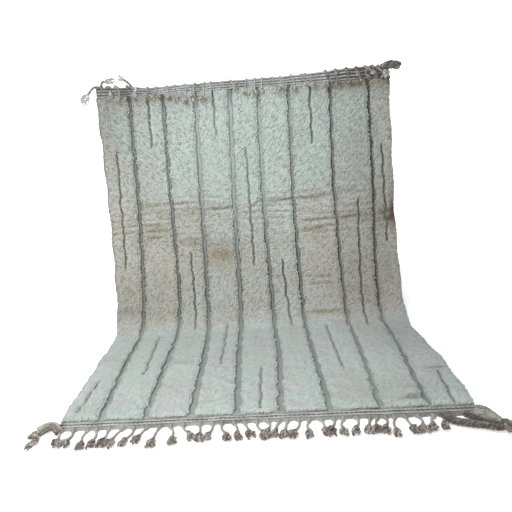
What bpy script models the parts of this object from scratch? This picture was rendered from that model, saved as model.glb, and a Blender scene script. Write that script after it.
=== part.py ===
"""A hand-knotted wool rug with plain lines left without pile, hung by its upper end.

The hanging part bends forward near the ground and runs out over the floor. A place on the rug is
given by x, across it; s, along it from the upper end of the pile; and h, off its back.
The origin is the middle of the upper end band's top edge, which is what holds the rug up.
"""

import math

import bmesh
import bpy
import numpy as np
from mathutils import Vector

# ---- sizes, in metres ----
PILE_LENGTH = 2.825  # of the knotted field, along the middle
SKEW = 0.047  # how much longer the field is for each metre to the right
WEAVE = 0.006  # thickness of the flat weave under the pile and in the end bands
PILE = 0.019  # pile standing on the weave
BED = 0.001  # what shows of the knots in a line without pile
WALL = 0.008  # how far a line's wall slopes between its bed and the pile
RIM = 0.016  # width of the rounded edge of the pile
RIM_SHARE = 0.55  # share of the pile's height at the very edge
LUMP = 0.0022  # unevenness of the pile
GAP = 0.0003  # between the field and each end band

# ---- how it hangs ----
LEAN = math.radians(4.9)  # the hanging part leans back towards its top
FOLD_START = 0.62  # along the rug, where it begins to bend forward
FOLD_END = 1.776  # where it lies flat on the floor
FOLD_POWER = 4.0  # a high power keeps the bend close to the floor
TRACK_FROM, TRACK_TO, TRACK_STEP = -0.3, 3.4, 0.002

# ---- sides of the field: along, left side, right side ----
SIDES = (
    # along, left side, right side
    (0.00, -1.014, 0.990),
    (0.30, -1.007, 0.994),
    (0.90, -1.006, 0.998),
    (1.25, -1.013, 1.013),
    (1.60, -1.001, 1.010),
    (1.85, -0.990, 0.986),
    (2.10, -0.998, 0.995),
    (2.37, -0.991, 1.004),
    (2.60, -0.995, 0.996),
    (2.85, -0.998, 0.983),
)
SIDE_WAVE = 0.004  # ripple of the two sides

# ---- lines without pile that run the whole length: their place across at five stations, and their
# width where the rug hangs and where it lies ----
STATIONS = (0.0, 0.7, 1.4, 2.1, 2.8)
LINES = (
    # at 0.0   0.7     1.4     2.1     2.8    hung   lying
    (-0.783, -0.790, -0.812, -0.820, -0.800, 0.024, 0.030),
    (-0.555, -0.563, -0.558, -0.568, -0.576, 0.022, 0.034),
    (-0.333, -0.348, -0.360, -0.348, -0.353, 0.027, 0.036),
    (-0.096, -0.122, -0.127, -0.140, -0.128, 0.029, 0.034),
    (0.094, 0.082, 0.094, 0.107, 0.080, 0.026, 0.034),
    (0.302, 0.292, 0.305, 0.308, 0.314, 0.024, 0.030),
    (0.586, 0.580, 0.605, 0.592, 0.551, 0.022, 0.026),
    (0.844, 0.855, 0.842, 0.822, 0.772, 0.022, 0.024),
)
WIDEN_FROM, WIDEN_TO = 1.55, 2.15

# ---- short lines, by the panel they lie in (0 is left of the first long line) ----
SHORT_LINES = (
    # panel, from, to, across at its start and end
    (0, 0.36, 1.20, -0.905, -0.925),
    (0, 2.41, 2.76, -0.915, -0.933),
    (1, 0.00, 0.36, -0.660, -0.660),
    (1, 1.76, 2.36, -0.685, -0.675),
    (2, 1.11, 1.70, -0.459, -0.445),
    (3, 0.00, 0.31, -0.215, -0.213),
    (3, 1.66, 2.27, -0.225, -0.243),
    (4, 0.39, 1.22, -0.015, -0.013),
    (4, 2.33, 2.79, -0.005, -0.018),
    (5, 1.19, 1.71, 0.185, 0.214),
    (6, 0.00, 0.40, 0.450, 0.441),
    (6, 1.73, 2.38, 0.445, 0.445),
    (7, 0.79, 1.77, 0.745, 0.720),
    (8, 0.43, 1.10, 0.923, 0.937),
    (8, 2.48, 2.86, 0.928, 0.890),
)
SHORT_WIDTH = 0.015
SHORT_FADE = 0.035  # length over which a short line opens and closes
WOBBLE = 0.003  # how far a line wanders from row to row

# ---- rows of the field: from, to, spacing ----
ROW_RUNS = ((0.0, 0.72, 0.072), (0.72, 1.12, 0.05), (1.12, 1.80, 0.04), (1.80, 2.82, 0.073))
BACK_EVERY = 6  # the back has every sixth column of the front

# ---- fold creases of the hanging part: along, from, to, depth, half width ----
CREASES = (
    (0.800, -0.82, -0.08, -0.007, 0.045),
    (0.955, -0.80, -0.35, 0.006, 0.045),
    (1.140, -0.36, -0.15, -0.007, 0.050),
    (0.790, 0.10, 0.64, -0.006, 0.045),
    (1.000, 0.08, 0.62, 0.006, 0.050),
    (0.940, 0.86, 1.05, -0.008, 0.050),
)
CREASE_FADE = 0.09
# ---- swellings of the lying pile: across, along, reach across and along, height ----
SWELLS = (
    (0.720, 2.735, 0.070, 0.050, 0.014),
    (-0.930, 2.150, 0.080, 0.100, 0.009),
    (-0.960, 2.450, 0.060, 0.080, 0.007),
    (0.930, 2.330, 0.100, 0.080, 0.009),
    (0.250, 2.600, 0.090, 0.120, 0.006),
    (-0.480, 2.300, 0.110, 0.120, 0.006),
)

# ---- end bands: across, depth of the upper band, depth of the lower band ----
BAND_DEPTH = (
    (-1.00, 0.080, 0.082),
    (-0.64, 0.052, 0.084),
    (-0.20, 0.060, 0.074),
    (0.20, 0.060, 0.078),
    (0.44, 0.068, 0.080),
    (0.62, 0.082, 0.085),
    (0.87, 0.090, 0.092),
    (1.00, 0.080, 0.088),
)
BAND_COLUMNS = 36
BAND_INSET = 0.006  # the bands are this much narrower than the pile on each side
# cross-section of a band: share of its depth from the pile outwards, height
BAND_SECTION = (
    (0.00, 0.0060),
    (0.07, 0.0095),
    (0.16, 0.0060),
    (0.36, 0.0060),
    (0.45, 0.0092),
    (0.54, 0.0060),
    (1.00, 0.0050),
)

# ---- fringe on the floor: root, head (both across), how far the head's middle reaches out ----
LOWER_FRINGE = (
    (-0.970, -0.948, 0.117),
    (-0.904, -0.908, 0.120),
    (-0.837, -0.832, 0.143),
    (-0.794, -0.781, 0.131),
    (-0.736, -0.737, 0.126),
    (-0.669, -0.700, 0.129),
    (-0.616, -0.638, 0.127),
    (-0.555, -0.583, 0.112),
    (-0.495, -0.509, 0.146),
    (-0.442, -0.420, 0.138),
    (-0.381, -0.343, 0.104),
    (-0.305, -0.297, 0.120),
    (-0.245, -0.262, 0.122),
    (-0.202, -0.174, 0.130),
    (-0.146, -0.125, 0.120),
    (-0.095, -0.071, 0.118),
    (-0.039, -0.008, 0.124),
    (0.013, 0.008, 0.108),
    (0.064, 0.042, 0.110),
    (0.101, 0.085, 0.120),
    (0.156, 0.122, 0.127),
    (0.202, 0.191, 0.125),
    (0.257, 0.266, 0.115),
    (0.317, 0.292, 0.109),
    (0.358, 0.341, 0.121),
    (0.421, 0.398, 0.114),
    (0.479, 0.455, 0.108),
    (0.511, 0.492, 0.111),
    (0.547, 0.528, 0.110),
    (0.588, 0.566, 0.138),
    (0.637, 0.647, 0.123),
    (0.696, 0.690, 0.113),
    (0.761, 0.735, 0.100),
    (0.803, 0.785, 0.095),
)
NECK_WIDTH, NECK_THICK = 0.013, 0.010
HEAD_WIDTH, HEAD_THICK, HEAD_LENGTH = 0.032, 0.019, 0.070
# corner tassels: across, along, middle height, width, thickness at each station
LEFT_CORNER = (
    (-0.966, 2.882, 0.007, 0.030, 0.012),
    (-1.003, 2.862, 0.019, 0.040, 0.028),
    (-1.027, 2.866, 0.021, 0.042, 0.032),
    (-1.046, 2.884, 0.021, 0.042, 0.032),
    (-1.066, 2.904, 0.018, 0.044, 0.028),
    (-1.084, 2.950, 0.012, 0.046, 0.020),
    (-1.094, 2.985, 0.008, 0.028, 0.012),
)
RIGHT_CORNER = (
    (0.900, 2.925, 0.008, 0.030, 0.012),
    (0.950, 2.940, 0.014, 0.042, 0.022),
    (0.995, 2.962, 0.018, 0.052, 0.030),
    (1.030, 3.000, 0.018, 0.050, 0.030),
    (1.052, 3.050, 0.014, 0.046, 0.024),
    (1.062, 3.085, 0.008, 0.030, 0.012),
)

# ---- fringe of the upper end, turned over to the front: root, head across, head along ----
UPPER_FRINGE = (
    (-0.914, -0.905, -0.010),
    (-0.860, -0.848, 0.012),
    (-0.730, -0.745, 0.004),
    (-0.655, -0.648, 0.015),
    (-0.593, -0.615, 0.027),
    (-0.525, -0.510, 0.035),
    (-0.470, -0.458, 0.050),
    (-0.401, -0.398, 0.060),
    (-0.332, -0.340, 0.058),
    (-0.264, -0.272, 0.052),
    (-0.222, -0.226, 0.066),
    (-0.085, -0.050, 0.000),
    (0.024, 0.014, 0.038),
    (0.079, 0.072, 0.043),
    (0.127, 0.121, 0.040),
    (0.196, 0.222, 0.030),
    (0.250, 0.262, 0.024),
    (0.326, 0.350, 0.036),
    (0.394, 0.430, 0.010),
    (0.422, 0.470, 0.018),
    (0.559, 0.597, 0.014),
    (0.627, 0.650, 0.018),
    (0.703, 0.720, 0.022),
    (0.771, 0.795, 0.016),
    (0.832, 0.850, 0.000),
    (0.880, 0.905, -0.004),
    (0.921, 0.950, 0.006),
)
TURN_OVER = 0.009  # radius with which a strand turns over the top edge
BAND_CLEAR = 0.015  # height of a strand's middle in front of the band
PILE_CLEAR = 0.037  # height of a strand's middle in front of the pile
PILE_STEP = (-0.005, 0.035)  # along and height where a strand steps up on to the pile
TOP_HEAD_WIDTH, TOP_HEAD_THICK, TOP_HEAD_LENGTH = 0.027, 0.014, 0.050
# loose strands at the upper corners: across, along, middle height, width, thickness
UPPER_LEFT_TASSEL = (
    (-0.965, -0.066, 0.003, 0.010, 0.005),
    (-1.005, -0.078, 0.008, 0.012, 0.010),
    (-1.035, -0.060, 0.010, 0.012, 0.010),
    (-1.058, -0.020, 0.011, 0.016, 0.012),
    (-1.070, 0.015, 0.012, 0.040, 0.016),
    (-1.074, 0.058, 0.012, 0.012, 0.010),
)
UPPER_LEFT_CURL = (
    (-0.962, -0.066, 0.003, 0.010, 0.004),
    (-0.964, -0.096, 0.006, 0.011, 0.009),
    (-0.945, -0.108, 0.008, 0.018, 0.012),
    (-0.912, -0.098, 0.008, 0.024, 0.012),
    (-0.896, -0.092, 0.008, 0.014, 0.008),
)
UPPER_LEFT_STRAND = (
    (-0.768, -0.050, 0.003, 0.010, 0.004),
    (-0.786, -0.076, 0.006, 0.011, 0.009),
    (-0.808, -0.092, 0.008, 0.012, 0.010),
    (-0.820, -0.112, 0.008, 0.030, 0.014),
    (-0.824, -0.132, 0.008, 0.018, 0.008),
)
UPPER_RIGHT_ROPE = (
    (0.925, -0.062, 0.003, 0.018, 0.005),
    (0.960, -0.074, 0.014, 0.030, 0.020),
    (0.992, -0.081, 0.022, 0.036, 0.030),
    (1.020, -0.080, 0.024, 0.036, 0.030),
    (1.044, -0.074, 0.023, 0.034, 0.028),
    (1.062, -0.068, 0.022, 0.020, 0.016),
)
LOOSE_STRANDS = (UPPER_LEFT_TASSEL, UPPER_LEFT_CURL, UPPER_LEFT_STRAND, UPPER_RIGHT_ROPE)

PILE_COLOUR = (0.56, 0.58, 0.52)
BAND_COLOUR = (0.34, 0.34, 0.30)


def smooth_step(t):
    """0 below 0, 1 above 1, and an S-shaped rise between."""
    t = np.clip(t, 0.0, 1.0)
    return t * t * (3.0 - 2.0 * t)


def column_of(table, column, at):
    """A column of a table, read between its rows by the first column."""
    rows = np.array(table)
    return np.interp(at, rows[:, 0], rows[:, column])


# ---- the drape ----


def turn_of(s):
    """Angle of the cloth from straight down: the lean at the top, a right angle on the floor."""
    share = np.clip((s - FOLD_START) / (FOLD_END - FOLD_START), 0.0, 1.0)
    return LEAN + (math.pi / 2 - LEAN) * share**FOLD_POWER


def make_track():
    """The rug's back seen from the side: s, y and z along it, by adding up short steps."""
    s = np.arange(TRACK_FROM, TRACK_TO, TRACK_STEP)
    angle = turn_of(s[:-1] + TRACK_STEP / 2)
    y = np.concatenate(([0.0], np.cumsum(-np.sin(angle) * TRACK_STEP)))
    z = np.concatenate(([0.0], np.cumsum(-np.cos(angle) * TRACK_STEP)))
    top = -column_of(BAND_DEPTH, 1, 0.0)
    y_top = np.interp(top, s, y) - WEAVE / 2 * math.cos(LEAN)
    z_top = np.interp(top, s, z) + WEAVE / 2 * math.sin(LEAN)
    return s, y - y_top, z - z_top


TRACK = make_track()
FLOOR = TRACK[2][-1]  # height of the floor below the hung edge


def crease(x, s):
    """How far the cloth stands forward in its fold creases; nothing once it lies."""
    out = np.zeros(np.broadcast(x, s).shape)
    for along, start, end, depth, half in CREASES:
        fade = smooth_step((x - start) / CREASE_FADE + 0.5)
        fade = fade * smooth_step((end - x) / CREASE_FADE + 0.5)
        out = out + depth * fade * np.exp(-(((s - along) / half) ** 2))
    return out


def place(x, s, h):
    """Points of the room from places on the rug."""
    x, s, h = np.broadcast_arrays(x, s, h)
    angle = turn_of(s)
    h = h + crease(x, s)
    y = np.interp(s, TRACK[0], TRACK[1]) - h * np.cos(angle)
    z = np.interp(s, TRACK[0], TRACK[2]) + h * np.sin(angle)
    return np.stack((x, y, z), axis=-1)


# ---- materials and objects ----


def new_collection(name):
    """A collection of this name, in the scene."""
    collection = bpy.data.collections.new(name)
    bpy.context.scene.collection.children.link(collection)
    return collection


def wool(name, colour):
    """A dull wool material of one colour."""
    material = bpy.data.materials.new(name)
    material.use_nodes = True
    shader = material.node_tree.nodes["Principled BSDF"]
    shader.inputs["Base Color"].default_value = (*colour, 1.0)
    shader.inputs["Roughness"].default_value = 0.95
    shader.inputs["Metallic"].default_value = 0.0
    return material


def mesh_object(name, points, faces, collection, material=None):
    """An object from points and faces, with its faces turned outwards."""
    mesh = bpy.data.meshes.new(name)
    mesh.from_pydata([tuple(p) for p in np.asarray(points, float)], [], faces)
    shape = bmesh.new()
    shape.from_mesh(mesh)
    bmesh.ops.recalc_face_normals(shape, faces=shape.faces)
    shape.to_mesh(mesh)
    shape.free()
    if material:
        mesh.materials.append(material)
    part = bpy.data.objects.new(name, mesh)
    collection.objects.link(part)
    return part


def quads(index):
    """Faces of a grid of point numbers."""
    a, b, c, d = index[:-1, :-1], index[:-1, 1:], index[1:, 1:], index[1:, :-1]
    return np.stack((a, b, c, d), axis=-1).reshape(-1, 4).tolist()


# ---- the knotted field ----


def row_places():
    """Places of the rows along the middle of the field, with a close pair at each end."""
    rows = [0.0, RIM]
    for start, end, spacing in ROW_RUNS:
        count = round((end - start) / spacing)
        rows.extend(start + (end - start) * (k + 1) / count for k in range(count))
    rows = [s for s in rows if s < PILE_LENGTH - 1.5 * RIM]
    return np.array(rows + [PILE_LENGTH - RIM, PILE_LENGTH])


def long_columns(line, rows):
    """Four columns of a long line: their places across, and how open the line is at each."""
    middle = np.interp(rows, STATIONS, line[:5])
    lying = smooth_step((rows - WIDEN_FROM) / (WIDEN_TO - WIDEN_FROM))
    width = line[5] + (line[6] - line[5]) * lying
    middle = middle + WOBBLE * np.sin(37.0 * rows + 50.0 * line[0])
    width = width * (1.0 + 0.15 * np.sin(53.0 * rows + 31.0 * line[4]))
    return four_columns(middle, width, np.ones_like(rows))


def short_columns(panel, rows):
    """Four columns down a panel, open wherever one of the panel's short lines runs."""
    along, across = [], []
    opening = np.zeros_like(rows)
    for where, start, end, x_start, x_end in SHORT_LINES:
        if where != panel:
            continue
        along += [start, end]
        across += [x_start, x_end]
        # a line that starts at the very end of the field is open there
        first = smooth_step((rows - start) / SHORT_FADE + 0.5) if start > 0 else 1.0
        opening = opening + first * smooth_step((end - rows) / SHORT_FADE + 0.5)
    middle = np.interp(rows, along, across)
    middle = middle + WOBBLE * np.sin(41.0 * rows + 3.0 * panel)
    return four_columns(middle, np.full_like(rows, SHORT_WIDTH), opening)


def four_columns(middle, width, opening):
    """Left edge, two of the bed and right edge of a line; only the bed is without pile."""
    outer, inner = width / 2 + WALL / 2, width / 2 - WALL / 2
    shut = np.zeros_like(opening)
    return [
        (middle - outer, shut),
        (middle - inner, opening),
        (middle + inner, opening),
        (middle + outer, shut),
    ]


def side_columns(rows):
    """The two outermost columns on each side, as (left pair, right pair)."""
    ripple = SIDE_WAVE * np.sin(23.0 * rows)
    left = column_of(SIDES, 1, rows) + ripple
    right = column_of(SIDES, 2, rows) + SIDE_WAVE * np.sin(19.0 * rows + 1.0)
    shut = np.zeros_like(rows)
    return [(left, shut), (left + RIM, shut)], [(right - RIM, shut), (right, shut)]


def field_columns(rows):
    """Every column of the field from left to right: places across and openness, row by row."""
    left, right = side_columns(rows)
    columns = left + short_columns(0, rows)
    for number, line in enumerate(LINES):
        columns += long_columns(line, rows) + short_columns(number + 1, rows)
    columns += right
    return np.stack([c[0] for c in columns], 1), np.stack([c[1] for c in columns], 1)


def pile_height(x, s, opening):
    """Height of the knotted surface off the back: weave, pile where no line is, and swellings."""
    rng = np.random.default_rng(11)
    pile = PILE + rng.uniform(-LUMP, LUMP, x.shape)
    for across, along, reach_x, reach_s, height in SWELLS:
        distance = ((x - across) / reach_x) ** 2 + ((s - along) / reach_s) ** 2
        pile = pile + height * np.exp(-distance)
    rim = np.ones_like(x)
    rim[:, 0] = rim[:, -1] = RIM_SHARE
    rim[0, :] = rim[-1, :] = RIM_SHARE
    return WEAVE + BED + (pile * rim - BED) * (1.0 - opening)


def build_field(collection, material):
    """One closed body: the knotted front as a grid, a coarse flat back, and walls round the rim."""
    rows = row_places()
    x, opening = field_columns(rows)
    s = rows[:, None] * (1.0 + SKEW * x / PILE_LENGTH)
    height = pile_height(x, s, opening)
    kept = np.unique(np.append(np.arange(0, x.shape[1], BACK_EVERY), x.shape[1] - 1))
    front = place(x, s, height).reshape(-1, 3)
    back = place(x[:, kept], s[:, kept], 0.0).reshape(-1, 3)
    front_index = np.arange(len(front)).reshape(x.shape)
    back_index = len(front) + np.arange(len(back)).reshape(len(rows), len(kept))
    faces = quads(front_index) + quads(back_index)
    for column in (0, -1):
        faces += quads(np.stack((front_index[:, column], back_index[:, column]), 1))
    for row in (0, -1):
        faces.append(front_index[row].tolist() + back_index[row][::-1].tolist())
    return mesh_object("rug_pile", np.concatenate((front, back)), faces, collection, material)


# ---- the end bands and their fringe ----


def band_edges(x, upper):
    """Where a band starts, beside the field, and where it ends, at its fringe."""
    if upper:
        return np.full_like(x, -GAP), -column_of(BAND_DEPTH, 1, x)
    start = PILE_LENGTH + SKEW * x + GAP
    return start, start + column_of(BAND_DEPTH, 2, x)


def build_strip(name, upper, collection, material):
    """A band of flat weave with two raised rows of twining: its section carried across the rug."""
    end = 0.0 if upper else PILE_LENGTH
    left = column_of(SIDES, 1, end) + BAND_INSET
    right = column_of(SIDES, 2, end) - BAND_INSET
    x = np.linspace(left, right, BAND_COLUMNS)[None, :]
    section = np.array(BAND_SECTION)
    start, stop = band_edges(x, upper)
    s = start + (stop - start) * section[:, :1]
    front = place(x, s, section[:, 1:]).reshape(-1, 3)
    rim_rows = [0, len(section) - 1]
    back = place(x, s[rim_rows], 0.0).reshape(-1, 3)
    index = np.arange(len(front)).reshape(s.shape)
    below = len(front) + np.arange(len(back)).reshape(2, BAND_COLUMNS)
    faces = quads(index) + quads(below)
    faces += quads(np.stack((index[0], below[0]))) + quads(np.stack((index[-1], below[1])))
    for column in (0, -1):
        faces.append(index[:, column].tolist() + [int(below[1, column]), int(below[0, column])])
    return mesh_object(name, np.concatenate((front, back)), faces, collection, material)


def strand(name, middles, widths, thicks, sides, ups, collection):
    """A four-sided strand: a square section with a narrower top, carried along its middles."""
    middles, sides, ups = np.asarray(middles), np.asarray(sides), np.asarray(ups)
    half, rise = np.asarray(widths)[:, None] / 2, np.asarray(thicks)[:, None] / 2
    corners = [
        middles - sides * half - ups * rise,
        middles + sides * half - ups * rise,
        middles + sides * half * 0.7 + ups * rise,
        middles - sides * half * 0.7 + ups * rise,
    ]
    points = np.stack(corners, axis=1).reshape(-1, 3)
    index = np.arange(len(points)).reshape(-1, 4)
    faces = quads(np.concatenate((index, index[:, :1]), axis=1))
    faces += [index[0].tolist(), index[-1].tolist()]
    part = mesh_object(name, points, faces, collection)
    part.hide_render = True
    part.display_type = "WIRE"
    return part


def unit(vectors):
    """Each vector at length 1."""
    return vectors / np.linalg.norm(vectors, axis=-1, keepdims=True)


def flat_strand(name, stations, collection):
    """A strand that keeps its lower side parallel to the rug's back or to the floor.

    stations: across, along, middle height, width, thickness.
    """
    rows = np.array(stations)
    middles = place(rows[:, 0], rows[:, 1], rows[:, 2])
    ups = unit(place(rows[:, 0], rows[:, 1], rows[:, 2] + 0.01) - middles)
    run = unit(np.gradient(middles, axis=0))
    sides = unit(np.cross(run, ups))
    return strand(name, middles, rows[:, 3], rows[:, 4], sides, ups, collection)


def lower_tassel(number, root, head, reach, collection):
    """One tassel on the floor: a thin neck from the band, a knot, and a flared head."""
    edge = float(band_edges(np.array([root]), upper=False)[1][0])
    middle = edge + reach
    tip = middle + HEAD_LENGTH / 2
    knot = middle - HEAD_LENGTH / 2
    bow = 0.010 * math.sin(2.3 * number)
    wide = HEAD_WIDTH * (1.0 + 0.2 * math.sin(1.7 * number))
    lean = (head - root) / reach
    across = [root, root, root + 0.4 * (head - root) + bow, head - 0.2 * HEAD_LENGTH * lean]
    across += [head, head + 0.3 * HEAD_LENGTH * lean]
    along = [edge - 0.012, edge + 0.006, (edge + knot) / 2, knot, middle, tip]
    width = [NECK_WIDTH, NECK_WIDTH, NECK_WIDTH, NECK_WIDTH * 1.4, wide, wide * 1.1]
    thick = [NECK_THICK, NECK_THICK, NECK_THICK, NECK_THICK * 1.4, HEAD_THICK, HEAD_THICK * 0.6]
    lift = [0.0015, 0.0, 0.0, 0.0, 0.0, 0.0]
    middle_height = [t / 2 + up for t, up in zip(thick, lift)]
    stations = list(zip(across, along, middle_height, width, thick))
    return flat_strand(f"lower_tassel_{number:02d}", stations, collection)


def upper_tassel(number, root, head, along_head, collection):
    """One tassel of the upper end: out of the top edge, over it, and down in front of the pile."""
    edge = float(band_edges(np.array([root]), upper=True)[1][0])
    middle = max(along_head, PILE_STEP[0] + TOP_HEAD_LENGTH / 2)
    knot_x = root + 0.6 * (head - root)
    stations = (
        (root, edge + 0.010, 0.0030, NECK_WIDTH * 0.9, 0.0045),
        (root, edge - 0.003, 0.0035, NECK_WIDTH * 0.9, 0.0050),
        (root, edge - TURN_OVER, BAND_CLEAR / 2 + 0.001, NECK_WIDTH, 0.0070),
        (root + 0.1 * (head - root), edge - 0.001, BAND_CLEAR, NECK_WIDTH, 0.0075),
        (knot_x, -0.024, BAND_CLEAR, NECK_WIDTH, 0.0075),
        (knot_x, *PILE_STEP, NECK_WIDTH * 1.3, 0.0100),
        (head, middle, PILE_CLEAR, TOP_HEAD_WIDTH, TOP_HEAD_THICK),
        (head, middle + TOP_HEAD_LENGTH / 2, PILE_CLEAR - 0.002, TOP_HEAD_WIDTH * 0.9, 0.008),
    )
    rows = np.array(stations)
    middles = place(rows[:, 0], rows[:, 1], rows[:, 2])
    run = unit(np.gradient(middles, axis=0))
    sides = np.tile(np.array([[1.0, 0.0, 0.0]]), (len(rows), 1))
    ups = unit(np.cross(sides, run))
    sides = unit(np.cross(run, ups))
    name = f"upper_tassel_{number:02d}"
    return strand(name, middles, rows[:, 3], rows[:, 4], sides, ups, collection)


def join_strands(strip, strands):
    """Adds a collection of strands to a band, as one body."""
    union = strip.modifiers.new("fringe", "BOOLEAN")
    union.operation = "UNION"
    union.operand_type = "COLLECTION"
    union.collection = strands
    union.solver = "EXACT"
    union.use_self = True


def build_lower_band(collection, material):
    """The band on the floor with its tassels and the two corner tassels."""
    strands = new_collection("lower_fringe_tools")
    for number, (root, head, reach) in enumerate(LOWER_FRINGE):
        lower_tassel(number, root, head, reach, strands)
    flat_strand("lower_left_corner", LEFT_CORNER, strands)
    flat_strand("lower_right_corner", RIGHT_CORNER, strands)
    strip = build_strip("lower_end_band", False, collection, material)
    join_strands(strip, strands)


def build_upper_band(collection, material):
    """The hung band with its turned-over tassels and the loose strands at its corners."""
    strands = new_collection("upper_fringe_tools")
    for number, (root, head, along_head) in enumerate(UPPER_FRINGE):
        upper_tassel(number, root, head, along_head, strands)
    for number, stations in enumerate(LOOSE_STRANDS):
        flat_strand(f"loose_strand_{number}", stations, strands)
    strip = build_strip("upper_end_band", True, collection, material)
    join_strands(strip, strands)


def clear_scene():
    """Removes what a new file holds."""
    for item in list(bpy.data.objects):
        bpy.data.objects.remove(item, do_unlink=True)


def build():
    """The whole rug."""
    clear_scene()
    rug = new_collection("wool_rug")
    pile_wool = wool("pile_wool", PILE_COLOUR)
    band_wool = wool("band_wool", BAND_COLOUR)
    build_field(rug, pile_wool)
    build_upper_band(rug, band_wool)
    build_lower_band(rug, band_wool)


build()
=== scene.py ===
"""Looks of a knotted wool rug that hangs by its upper end and runs out over the floor.

A place on the rug is given by x, across it; s, along it from the upper end of the pile; and h, off
its back, all in metres. Every piece is worked out in those terms and then laid on the drape.
"""

import math
from types import SimpleNamespace

import bpy
import numpy as np
from mathutils import Matrix, Vector


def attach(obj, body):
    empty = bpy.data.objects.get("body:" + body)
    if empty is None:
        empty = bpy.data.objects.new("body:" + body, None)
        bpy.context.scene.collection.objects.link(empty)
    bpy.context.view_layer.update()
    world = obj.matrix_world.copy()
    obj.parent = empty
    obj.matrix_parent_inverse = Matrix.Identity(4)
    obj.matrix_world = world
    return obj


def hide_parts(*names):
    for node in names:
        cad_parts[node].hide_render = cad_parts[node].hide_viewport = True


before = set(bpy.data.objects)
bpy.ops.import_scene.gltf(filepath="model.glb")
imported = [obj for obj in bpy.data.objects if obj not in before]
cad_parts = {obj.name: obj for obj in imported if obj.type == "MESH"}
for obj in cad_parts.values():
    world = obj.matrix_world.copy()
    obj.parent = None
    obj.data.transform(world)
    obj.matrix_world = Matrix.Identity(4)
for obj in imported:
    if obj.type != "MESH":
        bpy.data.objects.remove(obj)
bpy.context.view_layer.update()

# ---- sizes shared with the solids, in metres ----
PILE_LENGTH = 2.825
SKEW = 0.047
WEAVE = 0.006
PILE = 0.019
GAP = 0.0003
LEAN = math.radians(4.9)
FOLD_START, FOLD_END, FOLD_POWER = 0.62, 1.776, 4.0
TRACK_FROM, TRACK_TO, TRACK_STEP = -0.3, 3.4, 0.002
SIDES = (
    # along, left side, right side
    (0.00, -1.014, 0.990),
    (0.30, -1.007, 0.994),
    (0.90, -1.006, 0.998),
    (1.25, -1.013, 1.013),
    (1.60, -1.001, 1.010),
    (1.85, -0.990, 0.986),
    (2.10, -0.998, 0.995),
    (2.37, -0.991, 1.004),
    (2.60, -0.995, 0.996),
    (2.85, -0.998, 0.983),
)
SIDE_WAVE = 0.004
STATIONS = (0.0, 0.7, 1.4, 2.1, 2.8)
LINES = (
    # across at 0.0  0.7     1.4     2.1     2.8    width hung, lying
    (-0.783, -0.790, -0.812, -0.820, -0.800, 0.024, 0.030),
    (-0.555, -0.563, -0.558, -0.568, -0.576, 0.022, 0.034),
    (-0.333, -0.348, -0.360, -0.348, -0.353, 0.027, 0.036),
    (-0.096, -0.122, -0.127, -0.140, -0.128, 0.029, 0.034),
    (0.094, 0.082, 0.094, 0.107, 0.080, 0.026, 0.034),
    (0.302, 0.292, 0.305, 0.308, 0.314, 0.024, 0.030),
    (0.586, 0.580, 0.605, 0.592, 0.551, 0.022, 0.026),
    (0.844, 0.855, 0.842, 0.822, 0.772, 0.022, 0.024),
)
WIDEN_FROM, WIDEN_TO = 1.55, 2.15
SHORT_LINES = (
    # panel, from, to, across at its start and end
    (0, 0.36, 1.20, -0.905, -0.925),
    (0, 2.41, 2.76, -0.915, -0.933),
    (1, 0.00, 0.36, -0.660, -0.660),
    (1, 1.76, 2.36, -0.685, -0.675),
    (2, 1.11, 1.70, -0.459, -0.445),
    (3, 0.00, 0.31, -0.215, -0.213),
    (3, 1.66, 2.27, -0.225, -0.243),
    (4, 0.39, 1.22, -0.015, -0.013),
    (4, 2.33, 2.79, -0.005, -0.018),
    (5, 1.19, 1.71, 0.185, 0.214),
    (6, 0.00, 0.40, 0.450, 0.441),
    (6, 1.73, 2.38, 0.445, 0.445),
    (7, 0.79, 1.77, 0.745, 0.720),
    (8, 0.43, 1.10, 0.923, 0.937),
    (8, 2.48, 2.86, 0.928, 0.890),
)
SHORT_WIDTH = 0.015
SHORT_FADE = 0.035
WOBBLE = 0.003
CREASES = (
    # along, from, to, depth, half width
    (0.800, -0.82, -0.08, -0.007, 0.045),
    (0.955, -0.80, -0.35, 0.006, 0.045),
    (1.140, -0.36, -0.15, -0.007, 0.050),
    (0.790, 0.10, 0.64, -0.006, 0.045),
    (1.000, 0.08, 0.62, 0.006, 0.050),
    (0.940, 0.86, 1.05, -0.008, 0.050),
)
CREASE_FADE = 0.09
SWELLS = (
    # across, along, reach across and along, height
    (0.720, 2.735, 0.070, 0.050, 0.014),
    (-0.930, 2.150, 0.080, 0.100, 0.009),
    (-0.960, 2.450, 0.060, 0.080, 0.007),
    (0.930, 2.330, 0.100, 0.080, 0.009),
    (0.250, 2.600, 0.090, 0.120, 0.006),
    (-0.480, 2.300, 0.110, 0.120, 0.006),
)
BAND_DEPTH = (
    # across, depth of the upper band, of the lower band
    (-1.00, 0.080, 0.082),
    (-0.64, 0.052, 0.084),
    (-0.20, 0.060, 0.074),
    (0.20, 0.060, 0.078),
    (0.44, 0.068, 0.080),
    (0.62, 0.082, 0.085),
    (0.87, 0.090, 0.092),
    (1.00, 0.080, 0.088),
)
BAND_INSET = 0.006
BAND_BACK, BAND_EDGE, BAND_FRONT = 0.0002, 0.0035, 0.0056  # heights of its back, its rim, its front
UPPER_ROWS = (0.10, 0.36, 0.62, 0.88)  # shares of a band's depth at which a twined row runs
LOWER_ROWS = (0.17, 0.25, 0.50, 0.58)
# a twined row: radius of a strand, its way off the middle, length of a turn, height of the middle
UPPER_ROPE = (0.0034, 0.0024, 0.046, 0.0080)
LOWER_ROPE = (0.0023, 0.0020, 0.022, 0.0066)
GATHER_REACH, GATHER_RISE = 0.011, 0.0075  # how a band's edge is drawn out at a tassel's root

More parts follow.
